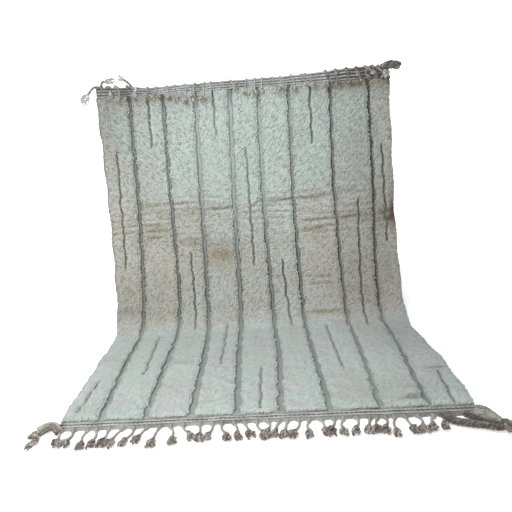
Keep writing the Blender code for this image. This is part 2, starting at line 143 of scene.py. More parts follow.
# ---- knots and their tufts ----
TUFT_ROWS = 240  # rows of tufts along the rug
TUFT_PITCH = 0.0117  # between tufts across it
TUFT_INSET = 0.0070  # from the edge of the pile to its outermost tufts
TUFT_LENGTH = 0.0190
TUFT_RADIUS = (0.0046, 0.0060)
TUFT_SINK = (0.0135, 0.0168)  # a tuft's root under the pile's full height, hung and lying
TUFT_SPLIT = (0.56, 1.12, 1.70, 2.27)  # where the tufts are parted into pieces along the rug
BODY_DROP = (0.0050, 0.0030)  # the dense lower pile under its full height, hung and lying
TUFT_RUNS = (0.0, 0.66, 0.42)  # shares of its length: its root, on to the shoulder, on to the tip
TUFT_BENDS = (0.0, 0.55, 1.35)  # shares of its full lean along those runs
TUFT_RINGS = ((0.55, 0.80), (0.75, 1.0))  # a ring's share of the lean and of the radius
CRUMB_PITCH, CRUMB_RISE = 0.034, 0.0035  # tufts that clump together
ROLL_PITCH, ROLL_RISE = 0.110, 0.0020
FRAYED = 0.0046  # how far the edge of the pile wanders beside a line
CLUMP_LONG, CLUMP_LEVEL, CLUMP_SHORT = 0.0250, 0.0185, 0.0145  # sizes of the clumps tufts lean into
SUNK_SHARE, SUNK_BY = 0.17, 0.0040  # tufts that stand lower than the rest
GROUND_ROWS, COLUMN_STEP = 109, 0.04  # rows and widest step of the ground weave's grid
BAND_GRID = (301, 20)  # across and along
LYING_FROM, LYING_TO = 1.50, 1.75  # along the rug: between them it comes to lie flat
RIPPLE_PITCH, RIPPLE_RISE = 0.043, 0.0042  # waves along the creased middle
RIPPLE_FROM, RIPPLE_TO = 0.66, 1.08
BODY_INSET = 0.0035  # from the edge of the pile to the outermost columns of the dense lower pile
BODY_SHAKE = (0.0014, 0.0020, 0.0016)  # how far its points are shaken: across, along, in height
BODY_EDGE, BODY_NEXT, BODY_END = 0.0060, 0.0020, 0.0070  # its outer columns, the next, its end rows
WALL_INSET, WALL_BULGE = 0.0012, (-0.0015, 0.0022)  # the foot and the middle of its walls
FOOT_SINK = 0.0005  # its foot inside the weave
TUFT_SHAKE = (0.0034, 0.0030, 0.0032)  # of a tuft's root: across, the same at an edge, along
LEAN_WHIM = 0.15  # how much a tuft's own lean strays
BED_H = WEAVE + 0.0006  # floor of a short line

WRINKLES = (
    # along at its left end, from, to, slope, depth, half width
    (0.742, -0.790, -0.560, 0.02, -0.0100, 0.012),
    (0.745, -0.545, -0.440, 0.02, -0.0060, 0.011),
    (0.800, -0.300, -0.110, -0.02, -0.0090, 0.012),
    (0.985, -0.780, -0.660, -0.05, -0.0100, 0.012),
    (0.968, -0.560, -0.350, -0.02, 0.0035, 0.016),
    (1.055, -0.330, -0.110, -0.10, -0.0050, 0.018),
    (0.805, 0.000, 0.100, -0.60, -0.0110, 0.010),
    (0.785, 0.110, 0.290, -0.10, -0.0090, 0.012),
    (0.775, 0.320, 0.570, -0.06, -0.0090, 0.012),
    (0.815, 0.320, 0.580, -0.04, 0.0040, 0.014),
    (0.900, 0.340, 0.560, 0.00, 0.0050, 0.012),
    (0.925, 0.330, 0.560, 0.00, -0.0090, 0.011),
    (0.955, 0.330, 0.580, -0.02, 0.0045, 0.012),
    (1.000, 0.320, 0.470, -0.08, -0.0090, 0.012),
    (0.920, 0.620, 0.850, -0.05, -0.0090, 0.012),
    (0.905, 0.870, 0.990, 0.00, -0.0120, 0.014),
    (1.330, 0.350, 0.530, 0.06, -0.0090, 0.012),
    (1.390, 0.360, 0.520, -0.05, -0.0080, 0.012),
    (1.450, -0.990, -0.830, -0.03, 0.0045, 0.012),
    (1.600, 0.320, 0.560, 0.00, -0.0050, 0.014),
    (2.700, -0.340, -0.150, -0.25, -0.0060, 0.016),
    (2.790, 0.640, 0.770, 0.10, -0.0080, 0.015),
    (2.490, 0.820, 0.980, 0.00, -0.0060, 0.010),
    (0.795, 0.330, 0.480, 0.05, -0.0080, 0.008),
    (0.860, 0.320, 0.420, 0.00, -0.0060, 0.007),
    (0.880, 0.330, 0.580, 0.03, -0.0060, 0.008),
    (0.975, 0.430, 0.580, 0.02, -0.0060, 0.007),
    (0.745, 0.600, 0.720, -0.15, -0.0080, 0.009),
    (0.950, 0.630, 0.840, 0.05, -0.0080, 0.009),
    (1.010, 0.860, 0.990, 0.05, -0.0060, 0.009),
)
WRINKLE_FADE = 0.05

TAN_MARKS = (
    # across, along, reach across and along, strength
    (-0.700, 0.780, 0.120, 0.032, 0.50),
    (-0.630, 0.830, 0.060, 0.030, 0.50),
    (-0.440, 0.820, 0.110, 0.034, 0.50),
    (-0.200, 0.805, 0.100, 0.014, 0.35),
    (-0.680, 0.925, 0.120, 0.055, 0.70),
    (-0.430, 1.030, 0.110, 0.035, 0.65),
    (-0.240, 1.130, 0.130, 0.070, 1.00),
    (0.200, 0.770, 0.100, 0.018, 0.35),
    (0.450, 0.745, 0.130, 0.026, 0.38),
    (0.420, 0.925, 0.080, 0.014, 0.55),
    (0.430, 1.005, 0.100, 0.030, 0.55),
    (0.700, 0.920, 0.110, 0.020, 0.55),
    (0.930, 0.930, 0.070, 0.050, 0.70),
    (0.470, 1.610, 0.130, 0.026, 0.85),
    (-0.180, 1.610, 0.110, 0.030, 0.50),
    (-0.920, 1.320, 0.080, 0.130, 0.30),
    (-0.700, 1.350, 0.110, 0.100, 0.26),
    (-0.690, 1.560, 0.070, 0.050, 0.25),
    (0.200, 1.300, 0.080, 0.060, 0.30),
    (0.700, 1.250, 0.120, 0.080, 0.32),
    (0.950, 1.300, 0.060, 0.120, 0.36),
    (-0.950, 0.200, 0.060, 0.300, 0.35),
    (-0.620, 0.030, 0.330, 0.030, 0.75),
    (0.720, 0.030, 0.240, 0.035, 0.85),
    (0.200, 0.030, 0.260, 0.025, 0.45),
    (0.740, 2.700, 0.110, 0.030, 0.30),
    (0.950, 0.070, 0.050, 0.090, 0.60),
    (-0.490, 2.200, 0.120, 0.035, 0.50),
    (-0.940, 2.090, 0.080, 0.060, 0.38),
    (0.840, 1.920, 0.150, 0.080, 0.35),
    # the next two rows: painted shadows of a fold and of the swell on the floor
    (0.940, 2.488, 0.070, 0.010, 0.30),
    (0.720, 2.785, 0.060, 0.018, 0.15),
    (0.770, 2.140, 0.100, 0.035, 0.35),
    (0.460, 2.500, 0.090, 0.100, 0.25),
    (0.930, 2.520, 0.060, 0.060, 0.30),
)
RUST_MARKS = (
    # across, along, reach across and along, strength
    (0.985, 0.900, 0.034, 0.100, 1.00),
    (0.950, 0.955, 0.055, 0.018, 0.85),
    (-0.930, 1.500, 0.060, 0.030, 0.35),
    (0.990, 0.010, 0.020, 0.050, 1.00),
    (0.578, 0.045, 0.014, 0.030, 0.80),
    (0.650, 0.030, 0.022, 0.022, 0.60),
    (0.705, 0.018, 0.018, 0.014, 0.55),
    (0.750, 0.028, 0.020, 0.020, 0.60),
    (0.785, 0.030, 0.014, 0.020, 0.55),
)
SOIL_AND_SHADE_MARKS = (
    # across, along, reach across and along, strength: greyer wool, and painted shade where the light
    # falls off at the upper left and down the right side; the last two rows are painted shadows of a
    # swell and a fold on the floor
    (-0.980, 0.100, 0.320, 0.500, 0.62),
    (0.380, 0.200, 0.180, 0.350, 0.20),
    (-0.500, 0.000, 0.500, 0.120, 0.35),
    (0.820, 0.250, 0.300, 0.600, 0.52),
    (0.700, 0.020, 0.300, 0.100, 0.40),
    (0.900, 0.950, 0.320, 0.500, 0.45),
    (0.720, 1.450, 0.220, 0.280, 0.34),
    (0.950, 2.100, 0.280, 0.450, 0.60),
    (0.700, 2.720, 0.450, 0.160, 0.45),
    (-0.900, 1.450, 0.300, 0.160, 0.20),
    (-0.850, 2.740, 0.300, 0.140, 0.22),
    (0.720, 2.785, 0.055, 0.018, 0.70),
    (0.940, 2.488, 0.075, 0.010, 0.50),
)
BED_TONES = (
    # across, share of darkening on bare weave, grime and painted shade in the grooves: high on the
    # hanging part, low on it, on the floor
    (-0.79, 0.53, 0.50, 0.10),
    (-0.56, 0.43, 0.54, 0.08),
    (-0.34, 0.06, 0.43, 0.08),
    (-0.12, 0.04, 0.40, 0.12),
    (0.09, 0.05, 0.45, 0.12),
    (0.30, 0.34, 0.54, 0.14),
    (0.59, 0.66, 0.62, 0.12),
    (0.85, 0.92, 0.84, 0.20),
)
RIM_DARK = (
    # how much darker a long line's weave is painted at its left and right edge, line by line: painted
    # shadow of the pile's edge
    (0.10, 0.35),
    (0.10, 0.30),
    (0.25, 0.25),
    (0.05, 0.35),
    (0.35, 0.10),
    (0.40, 0.05),
    (0.40, -0.20),
    (0.30, -0.25),
)

# ---- fringe ----
LOWER_FRINGE = (
    # root, head (both across), how far the head's middle reaches out
    (-0.970, -0.948, 0.117),
    (-0.904, -0.908, 0.120),
    (-0.837, -0.832, 0.143),
    (-0.794, -0.781, 0.131),
    (-0.736, -0.737, 0.126),
    (-0.669, -0.700, 0.129),
    (-0.616, -0.638, 0.127),
    (-0.555, -0.583, 0.112),
    (-0.495, -0.509, 0.146),
    (-0.442, -0.420, 0.138),
    (-0.381, -0.343, 0.104),
    (-0.305, -0.297, 0.120),
    (-0.245, -0.262, 0.122),
    (-0.202, -0.174, 0.130),
    (-0.146, -0.125, 0.120),
    (-0.095, -0.071, 0.118),
    (-0.039, -0.008, 0.124),
    (0.013, 0.008, 0.108),
    (0.064, 0.042, 0.110),
    (0.101, 0.085, 0.120),
    (0.156, 0.122, 0.127),
    (0.202, 0.191, 0.125),
    (0.257, 0.266, 0.115),
    (0.317, 0.292, 0.109),
    (0.358, 0.341, 0.121),
    (0.421, 0.398, 0.114),
    (0.479, 0.455, 0.108),
    (0.511, 0.492, 0.111),
    (0.547, 0.528, 0.110),
    (0.588, 0.566, 0.138),
    (0.637, 0.647, 0.123),
    (0.696, 0.690, 0.113),
    (0.761, 0.735, 0.100),
    (0.803, 0.785, 0.095),
)
UPPER_FRINGE = (
    # root, head across, head along
    (-0.914, -0.905, -0.010),
    (-0.860, -0.848, 0.012),
    (-0.730, -0.745, 0.004),
    (-0.655, -0.648, 0.015),
    (-0.593, -0.615, 0.027),
    (-0.525, -0.510, 0.035),
    (-0.470, -0.458, 0.050),
    (-0.401, -0.398, 0.060),
    (-0.332, -0.340, 0.058),
    (-0.264, -0.272, 0.052),
    (-0.222, -0.226, 0.066),
    (-0.085, -0.050, 0.000),
    (0.024, 0.014, 0.038),
    (0.079, 0.072, 0.043),
    (0.127, 0.121, 0.040),
    (0.196, 0.222, 0.030),
    (0.250, 0.262, 0.024),
    (0.326, 0.350, 0.036),
    (0.394, 0.430, 0.010),
    (0.422, 0.470, 0.018),
    (0.559, 0.597, 0.014),
    (0.627, 0.650, 0.018),
    (0.703, 0.720, 0.022),
    (0.771, 0.795, 0.016),
    (0.832, 0.850, 0.000),
    (0.880, 0.905, -0.004),
    (0.921, 0.950, 0.006),
)
PALE_TASSELS = (0, 2)  # their numbers in the upper fringe
DIM_FROM = 0.50  # across: the upper tassels are darker to the right of this
# share of its thickness that a loose end has at each step
HEAD_TAPER = (0.70, 0.95, 1.08, 1.10, 1.05, 1.02, 1.06, 1.04, 1.0, 0.98, 0.90, 0.62)
# dark wool wads over the upper band, partly painted shadow where the necks cast shade
DARK_WADS = (
    # across and along where it starts, the same where it ends, width
    (0.573, -0.056, 0.580, -0.010, 0.014),
    (0.580, -0.014, 0.588, 0.040, 0.018),
    (0.628, -0.066, 0.641, -0.043, 0.016),
    (0.697, -0.074, 0.723, -0.040, 0.016),
    (0.762, -0.087, 0.770, -0.050, 0.018),
    (0.774, -0.058, 0.784, -0.018, 0.024),
    (0.838, -0.084, 0.842, -0.052, 0.014),
    (0.872, -0.050, 0.878, -0.020, 0.016),
    (0.906, -0.040, 0.912, -0.008, 0.018),
    (0.940, -0.048, 0.944, -0.018, 0.016),
    (0.982, -0.050, 0.984, 0.016, 0.018),
    (-0.985, -0.078, -0.960, -0.055, 0.016),
    (-0.935, -0.076, -0.905, -0.052, 0.018),
    (-0.880, -0.076, -0.852, -0.055, 0.014),
    (-0.800, -0.070, -0.770, -0.050, 0.014),
)

# ---- cords and loose ends of the four corners: across, along, height of the middle ----
LEFT_PLAIT = (
    (-0.966, 2.880, 0.007),
    (-0.984, 2.858, 0.014),
    (-1.004, 2.842, 0.022),
    (-1.026, 2.846, 0.026),
    (-1.046, 2.864, 0.024),
    (-1.066, 2.878, 0.020),
)
LEFT_ENDS = (
    # where a loose end of the left plait leaves it, its way, length, width, how many strands
    ((-1.062, 2.878, 0.019), (-0.50, -0.87, -0.20), 0.056, 0.040, 14),
    ((-1.050, 2.922, 0.010), (-0.36, -0.93, -0.05), 0.078, 0.022, 9),
)
RIGHT_BUNCH = (
    # a cord's start on the band and its passing place on the floor (across, along), its bow, its tone
    (0.790, 2.942, 0.945, 3.080, 0.026, 0.10),
    (0.798, 2.940, 0.935, 3.066, 0.026, 0.30),
    (0.822, 2.944, 0.910, 3.044, 0.016, 0.25),
    (0.898, 2.957, 0.940, 3.040, 0.000, 0.00),
    (0.908, 2.957, 0.952, 3.034, 0.000, 0.02),
    (0.926, 2.955, 0.968, 3.020, 0.000, 0.55),
    (0.946, 2.947, 0.985, 3.004, 0.000, 0.90),
    (0.962, 2.928, 0.998, 2.985, 0.000, 0.80),
    (0.974, 2.904, 1.008, 2.955, -0.004, 0.55),
)
RIGHT_KNOT = (1.026, 3.078)
UPPER_LEFT_STRAND = (
    (-0.955, -0.060, 0.004),
    (-0.990, -0.074, 0.010),
    (-1.018, -0.074, 0.011),
    (-1.045, -0.052, 0.011),
    (-1.062, -0.030, 0.011),
)
UPPER_LEFT_CURL = (
    (-0.962, -0.060, 0.004),
    (-0.966, -0.092, 0.007),
    (-0.956, -0.106, 0.008),
    (-0.940, -0.108, 0.008),
)
UPPER_LEFT_LOOP = (
    (-0.752, -0.050, 0.004),
    (-0.775, -0.080, 0.007),
    (-0.798, -0.102, 0.008),
    (-0.812, -0.112, 0.008),
)
UPPER_RIGHT_ROPE = (
    (0.946, -0.064, 0.018),
    (0.968, -0.074, 0.024),
    (0.992, -0.081, 0.027),
    (1.018, -0.080, 0.028),
    (1.042, -0.074, 0.027),
    (1.058, -0.068, 0.026),
)
RUSTY_STRANDS = (
    # from, to: each across and along
    ((0.880, -0.086), (0.945, -0.040)),
    ((0.840, -0.084), (0.872, -0.046)),
    ((0.960, -0.070), (0.966, -0.020)),
)

# ---- the photograph's camera, in the part's frame ----
CAMERA_PLACE = (0.030, -3.777, -0.372)
CAMERA_YAW, CAMERA_PITCH, CAMERA_ROLL = math.radians(-0.45), math.radians(-12.94), math.radians(-4.16)
FOCAL_PIXELS, FRAME_PIXELS, SENSOR = 528.0, 512.0, 36.0

random = np.random.default_rng(5)


# ---------------------------------------------------------------- the drape


def smooth_step(t):
    """0 below 0, 1 above 1, with t*t*(3 - 2t) between."""
    t = np.clip(t, 0.0, 1.0)
    return t * t * (3.0 - 2.0 * t)


def column_of(table, column, at):
    """A column of a table, read between its rows by the first column."""
    rows = np.array(table)
    return np.interp(at, rows[:, 0], rows[:, column])


def turn_of(s):
    """Angle from straight down: the lean, rising with the fourth power to a right angle."""
    share = np.clip((s - FOLD_START) / (FOLD_END - FOLD_START), 0.0, 1.0)
    return LEAN + (math.pi / 2 - LEAN) * share**FOLD_POWER


def make_track():
    """Side view of the rug's back: running sums of minus sine and minus cosine of the angle."""
    s = np.arange(TRACK_FROM, TRACK_TO, TRACK_STEP)
    angle = turn_of(s[:-1] + TRACK_STEP / 2)
    y = np.concatenate(([0.0], np.cumsum(-np.sin(angle) * TRACK_STEP)))
    z = np.concatenate(([0.0], np.cumsum(-np.cos(angle) * TRACK_STEP)))
    top = -column_of(BAND_DEPTH, 1, 0.0)
    y_top = np.interp(top, s, y) - WEAVE / 2 * math.cos(LEAN)
    z_top = np.interp(top, s, z) + WEAVE / 2 * math.sin(LEAN)
    return s, y - y_top, z - z_top


TRACK = make_track()
FLOOR = float(TRACK[2][-1])


def spans(x, start, end, fade):
    """1 between start and end, falling to 0 over fade at both."""
    return smooth_step((x - start) / fade + 0.5) * smooth_step((end - x) / fade + 0.5)


def crease(x, s):
    """The cloth's fold creases: bell-shaped troughs and ridges along s, faded out across."""
    out = np.zeros(np.broadcast(x, s).shape)
    for along, start, end, depth, half in CREASES:
        bell = np.exp(-(((s - along) / half) ** 2))
        out = out + depth * spans(x, start, end, CREASE_FADE) * bell
    return out


def place(x, s, h):
    """Points of the room: the track at s, then h along the normal to its angle."""
    x, s, h = np.broadcast_arrays(x, s, h)
    angle = turn_of(s)
    h = h + crease(x, s)
    y = np.interp(s, TRACK[0], TRACK[1]) - h * np.cos(angle)
    z = np.interp(s, TRACK[0], TRACK[2]) + h * np.sin(angle)
    return np.stack((x, y, z), axis=-1)


def unit(vectors):
    """Each vector at length 1."""
    return vectors / np.maximum(np.linalg.norm(vectors, axis=-1, keepdims=True), 1e-12)


# ---------------------------------------------------------------- unevenness


def bells(table, x, s):
    """Sum of round marks: strength times a bell in x and s."""
    out = np.zeros(np.broadcast(x, s).shape)
    for across, along, reach_x, reach_s, strength in table:
        distance = ((x - across) / reach_x) ** 2 + ((s - along) / reach_s) ** 2
        out = out + strength * np.exp(-distance)
    return out


def rolling(x, s, pitch, seed):
    """Soft unevenness from -1 to 1: a mean of sine waves that run in different directions."""
    rng = np.random.default_rng(seed)
    out = 0.0
    for turn in rng.uniform(0, 2 * math.pi, 5):
        size, shift = rng.uniform(0.7, 1.5), rng.uniform(0, 9)
        along = x * math.cos(turn) + s * math.sin(turn)
        out = out + np.sin(2 * math.pi * along / (pitch * size) + shift)
    return out / 5 * 1.6


def nearest_point(u, v, seed):
    """The nearest of a grid's shaken points: its squared distance, the way to it, and its value.

    Each cell of the grid has one point, with a value of its own from -1 to 1.
    """
    rng = np.random.default_rng(seed)
    shake, values = rng.uniform(0.12, 0.88, (64, 64, 2)), rng.uniform(-1, 1, (64, 64))
    iu, iv = np.floor(u).astype(int), np.floor(v).astype(int)
    near, way_u, way_v, value = (np.full(u.shape, start) for start in (9.0, 0.0, 0.0, 0.0))
    for du in (-1, 0, 1):
        for dv in (-1, 0, 1):
            cell = (iu + du) % 64, (iv + dv) % 64
            to_u, to_v = iu + du + shake[cell][..., 0] - u, iv + dv + shake[cell][..., 1] - v
            far = to_u**2 + to_v**2
            closer = far < near
            near, value = np.where(closer, far, near), np.where(closer, values[cell], value)
            way_u, way_v = np.where(closer, to_u, way_u), np.where(closer, to_v, way_v)
    return near, way_u, way_v, value


def crumbs(x, s, pitch, seed):
    """Rounded clumps: 1 at the nearest of a grid's shaken points, falling with distance to 0."""
    near = nearest_point(x / pitch + 500.0, s / pitch + 500.0, seed)[0]
    return np.clip(1.0 - near / 0.62, 0.0, 1.0)


def wrinkles(x, s):
    """Sharp little folds of the pile: a narrow bell across each slanting, slightly wavy line."""
    out = np.zeros(np.broadcast(x, s).shape)
    for along, start, end, slope, depth, half in WRINKLES:
        line = along + slope * (x - start) + 0.004 * np.sin(31.0 * x + 90.0 * along)
        bell = np.exp(-(((s - line) / half) ** 2))
        out = out + depth * spans(x, start, end, WRINKLE_FADE) * bell
    return out


# ---------------------------------------------------------------- lines without pile


def skewed(rows, x):
    """Places along the rug: the rows, longer towards the right."""
    return rows * (1.0 + SKEW * x / PILE_LENGTH)


def side_edges(rows):
    """The rug's left and right side at each row, with a slow ripple."""
    left = column_of(SIDES, 1, rows) + SIDE_WAVE * np.sin(23.0 * rows)
    right = column_of(SIDES, 2, rows) + SIDE_WAVE * np.sin(19.0 * rows + 1.0)
    return left, right


def long_edges(line, rows):
    """Left and right edge of a long line: its middle, which wanders, and its varying width."""
    middle = np.interp(rows, STATIONS, line[:5]) + WOBBLE * np.sin(37.0 * rows + 50.0 * line[0])
    lying = smooth_step((rows - WIDEN_FROM) / (WIDEN_TO - WIDEN_FROM))
    width = line[5] + (line[6] - line[5]) * lying
    width = width * (1.0 + 0.15 * np.sin(53.0 * rows + 31.0 * line[4]))
    return middle - width / 2, middle + width / 2


def short_edges(panel, rows):
    """Left and right edge of a panel's short lines, and how open they are at each row."""
    along, across = [], []
    opening = np.zeros_like(rows)
    for where, start, end, x_start, x_end in SHORT_LINES:
        if where != panel:
            continue
        along += [start, end]
        across += [x_start, x_end]
        first = smooth_step((rows - start) / SHORT_FADE + 0.5) if start > 0 else 1.0
        opening = opening + first * smooth_step((end - rows) / SHORT_FADE + 0.5)
    middle = np.interp(rows, along, across) + WOBBLE * np.sin(41.0 * rows + 3.0 * panel)
    middle = middle + FRAYED * 0.8 * rolling(middle, rows, 0.050, 90 + panel)
    return middle - SHORT_WIDTH / 2, middle + SHORT_WIDTH / 2, opening


def lying_share(s):
    """0 where the rug hangs, 1 where it lies."""
    return smooth_step((s - LYING_FROM) / (LYING_TO - LYING_FROM))


def bed_dirt_and_shade(x, s):
    """Share of darkening on bare weave, grime and painted shade in the grooves, read across and blended
    along the rug, with more just below the upper band.
    """
    high, low, laid = (column_of(BED_TONES, column, x) for column in (1, 2, 3))
    hung = high + (low - high) * smooth_step((s - 0.5) / 0.8) + 0.45 * np.exp(-((s / 0.07) ** 2))
    return hung + (laid - hung) * lying_share(s)


def panel_edges(panel, rows):
    """Where a panel of pile starts and ends across the rug, frayed beside the long lines."""
    left, right = side_edges(rows)
    frayed = FRAYED * (1 - 0.4 * lying_share(rows))
    if panel > 0:
        left = long_edges(LINES[panel - 1], rows)[1]
        left = left + frayed * rolling(left, rows, 0.024, 50 + panel)
    if panel < len(LINES):
        right = long_edges(LINES[panel], rows)[0]
        right = right + frayed * rolling(right, rows, 0.024, 70 + panel)
    return left, right


# ---------------------------------------------------------------- meshes


def quads(index):
    """Faces of one or more grids of point numbers."""
    a, b, c, d = index[..., :-1, :-1], index[..., :-1, 1:], index[..., 1:, 1:], index[..., 1:, :-1]
    return np.stack((a, b, c, d), axis=-1).reshape(-1, 4)


def put_mesh(name, points, groups, materials, marks=None, face_slots=None):
    """A smooth mesh object from points and groups of faces with equal corner counts.

    marks: name of an attribute to one value or vector for each point.
    """
    mesh = bpy.data.meshes.new(name)
    points = np.asarray(points, np.float32).reshape(-1, 3)
    mesh.vertices.add(len(points))
    mesh.vertices.foreach_set("co", points.ravel())
    corners = np.concatenate([np.asarray(g).ravel() for g in groups]).astype(np.int32)
    sizes = np.concatenate([np.full(len(g), np.shape(g)[1]) for g in groups])
    starts = np.concatenate(([0], np.cumsum(sizes)[:-1])).astype(np.int32)
    mesh.loops.add(len(corners))
    mesh.loops.foreach_set("vertex_index", corners)
    mesh.polygons.add(len(sizes))
    mesh.polygons.foreach_set("loop_start", starts)
    for label, values in (marks or {}).items():
        values = np.asarray(values, np.float32)
        kind, field = ("FLOAT_VECTOR", "vector") if values.ndim == 2 else ("FLOAT", "value")
        mesh.attributes.new(label, kind, "POINT").data.foreach_set(field, values.ravel())
    mesh.update(calc_edges=True)
    mesh.validate()
    mesh.polygons.foreach_set("use_smooth", np.ones(len(mesh.polygons), bool))
    for material in materials:
        mesh.materials.append(material)
    if face_slots is not None:
        mesh.polygons.foreach_set("material_index", np.asarray(face_slots, np.int32))
    piece = bpy.data.objects.new(name, mesh)
    bpy.context.scene.collection.objects.link(piece)
    return piece


def put_piece(node, *mesh):
    """A piece that stands for a solid, from what put_mesh takes."""
    piece = put_mesh(*mesh)
    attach(piece, "root")
    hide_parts(node)
    return piece


def square_to(paths, lift):
    """Two unit vectors square to each path and to each other, the first square to lift too."""
    run = unit(np.gradient(paths, axis=-2))
    first = unit(np.cross(run, np.broadcast_to(lift, run.shape)))
    return first, np.cross(first, run)


def tubes(paths, radii, sides, lift):
    """Points of many round tubes: paths (tube, step, 3), radii (tube, step).

    Each ring is cosine times one vector plus sine times another, both square to the path; lift
    points away from the rug and sets where a ring starts.
    """
    first, second = square_to(paths, lift)
    turn = 2 * math.pi * np.arange(sides) / sides
    ring = first[:, :, None] * np.cos(turn)[:, None] + second[:, :, None] * np.sin(turn)[:, None]
    return paths[:, :, None] + ring * radii[:, :, None, None]


def tube_faces(count, steps, sides, offset):
    """Side quads and end caps of tubes laid out as tubes() gives their points."""
    index = offset + np.arange(count * steps * sides).reshape(count, steps, sides)
    index = np.concatenate((index, index[:, :, :1]), axis=2)
    return quads(index)[:, [0, 3, 2, 1]], np.concatenate((index[:, 0, :-1], index[:, -1, -2::-1]))


def plied(path, lift, radius, plies, pitch, phase=0.0):
    """Paths of strands twisted round one path: the path plus a helix of the given radius."""
    first, second = square_to(path, lift)
    gone = np.concatenate(([0.0], np.cumsum(np.linalg.norm(np.diff(path, axis=0), axis=1))))
    turn = 2 * math.pi * (gone / pitch + np.arange(plies)[:, None] / plies) + phase
    radius = np.broadcast_to(radius, gone.shape)[:, None]
    return path + radius * (first * np.cos(turn)[..., None] + second * np.sin(turn)[..., None])


def route(stations, count):
    """A smooth path through places on the rug, each across, along and height.

    It has Catmull-Rom segments, read at even steps.
    """
    points = place(*np.array(stations).T)
    padded = np.concatenate((2 * points[:1] - points[1:2], points, 2 * points[-1:] - points[-2:-1]))
    t = np.linspace(0, len(points) - 1 - 1e-9, count)
    k = t.astype(int)
    f = (t - k)[:, None]
    p0, p1, p2, p3 = (padded[k + n] for n in range(4))
    return 0.5 * (
        2 * p1 + (p2 - p0) * f + (2 * p0 - 5 * p1 + 4 * p2 - p3) * f**2
        + (3 * p1 - p0 - 3 * p2 + p3) * f**3
    )


# ---------------------------------------------------------------- materials


class Value:
    """A socket that Python's operators extend with Math nodes."""

    def __init__(self, look, socket):
        self.look, self.socket = look, socket

    def math(self, operation, *others):
        """A Math node on this value and others."""
        return self.look.add("Math", {"operation": operation}, {0: self, **dict(enumerate(others, 1))})

    def __add__(self, other):
        return self.math("ADD", other)

    __radd__ = __add__

    def __mul__(self, other):
        return self.math("MULTIPLY", other)

    __rmul__ = __mul__

    def __sub__(self, other):
        return self.math("SUBTRACT", other)

    def __rsub__(self, other):
        return self.look.add("Math", {"operation": "SUBTRACT"}, {0: other, 1: self})


class Look:
    """A material with one Principled shader, and the one way to add any other node to it."""

    def __init__(self, name, roughness, sheen):
        self.material = bpy.data.materials.new(name)
        self.material.use_nodes = True
        self.tree = self.material.node_tree
        self.shader = self.tree.nodes["Principled BSDF"]
        self.shader.inputs["Roughness"].default_value = roughness
        self.shader.inputs["Sheen Weight"].default_value = sheen
        self.shader.inputs["Sheen Roughness"].default_value = 0.6
        self.shader.inputs["Specular IOR Level"].default_value = 0.15

    def link(self, value, socket):
        """Puts a number, colour or Value into a socket."""
        if isinstance(value, Value):
            self.tree.links.new(value.socket, socket)
        else:
            socket.default_value = value

    def add(self, kind, settings=None, values=None, out=0):
        """Adds a node: its settings first, then the numbers or links of its sockets."""
        node = self.tree.nodes.new("ShaderNode" + kind)
        for key, setting in (settings or {}).items():
            setattr(node, key, setting)
        for key, value in (values or {}).items():
            self.link(value, node.inputs[key])
        return Value(self, node.outputs[out])

    def attribute(self, name, out="Fac"):
        """A value that the mesh carries at its points."""
        return self.add("Attribute", {"attribute_name": name}, out=out)

    def part(self, vector, axis):
        """One of a vector's three numbers."""
        return self.add("SeparateXYZ", values={0: vector}, out=axis)

    def noise(self, vector, scale, detail=2.0, rough=0.5):
        """Noise from 0 to 1."""
        values = {"Vector": vector, "Scale": scale, "Detail": detail, "Roughness": rough}
        return self.add("TexNoise", values=values, out="Fac")

    def streaks(self, spot, turn, scale, drawn):
        """Noise drawn out along a slant, from 0 to 1."""
        x, s = self.part(spot, 0), self.part(spot, 1)
        along = (x * math.cos(turn) + s * math.sin(turn)) * (1 / drawn)
        across = s * math.cos(turn) - x * math.sin(turn)
        return self.noise(self.add("CombineXYZ", values={0: along, 1: across}), scale, 2.0, 0.6)

    def ramp(self, value, low, high):
        """value brought from low..high to 0..1, held inside."""
        values = {"Value": value, "From Min": low, "From Max": high}
        return self.add("MapRange", {"clamp": True}, values, out="Result")

    def mix(self, share, a, b, blend="MIX"):
        """Two colours mixed."""
        a, b = ((*c, 1.0) if isinstance(c, tuple) else c for c in (a, b))
        settings = {"data_type": "RGBA", "blend_type": blend}
        return self.add("Mix", settings, {0: share, 6: a, 7: b}, out=2)

    def grey(self, shade):
        """A grey as bright as shade."""
        return self.add("CombineColor", values={0: shade, 1: shade, 2: shade})

    def shaded(self, colour, shade):
        """A colour times a grey."""
        return self.mix(1.0, colour, self.grey(shade), "MULTIPLY")

    def wave(self, value, pitch, shift=0.0):
        """A sine that repeats at each pitch."""
        return (value * (2 * math.pi / pitch) + shift).math("SINE")

    def finish(self, colour, height, distance):
        """Feeds the shader's colour, and its normal through a Bump node."""
        self.link(colour, self.shader.inputs["Base Color"])
        bump = self.add("Bump", values={"Height": height, "Distance": distance, "Strength": 1.0})
        self.link(bump, self.shader.inputs["Normal"])
        return self.material


IVORY = (0.518, 0.556, 0.520)
WARM_IVORY = (0.490, 0.484, 0.430)
COOL_IVORY = (0.492, 0.572, 0.545)
LILAC = (0.520, 0.520, 0.528)
TAN = (0.335, 0.294, 0.212)
RUST = (0.165, 0.112, 0.078)
BED_GREY = (0.385, 0.428, 0.412)
BED_SHADE = (0.318, 0.352, 0.340)
# the darkened colour of bare weave in the lines: grime, and painted shade in the grooves and beside the
# pile
BED_DARK = (0.062, 0.058, 0.047)
# painted shadow in the bare short lines
SHORT_DARK = (0.085, 0.083, 0.070)
BAND_GREY = (0.400, 0.414, 0.396)
BAND_SHADE = (0.330, 0.342, 0.325)
# the lower band's darkened colour: grime, and painted shade between its rows and along the pile's end
BAND_DIRT_AND_SHADE = (0.095, 0.093, 0.080)
UPPER_GREY = (0.205, 0.220, 0.220)
UPPER_SHADE = (0.150, 0.162, 0.160)
UPPER_DIRT = (0.085, 0.064, 0.046)


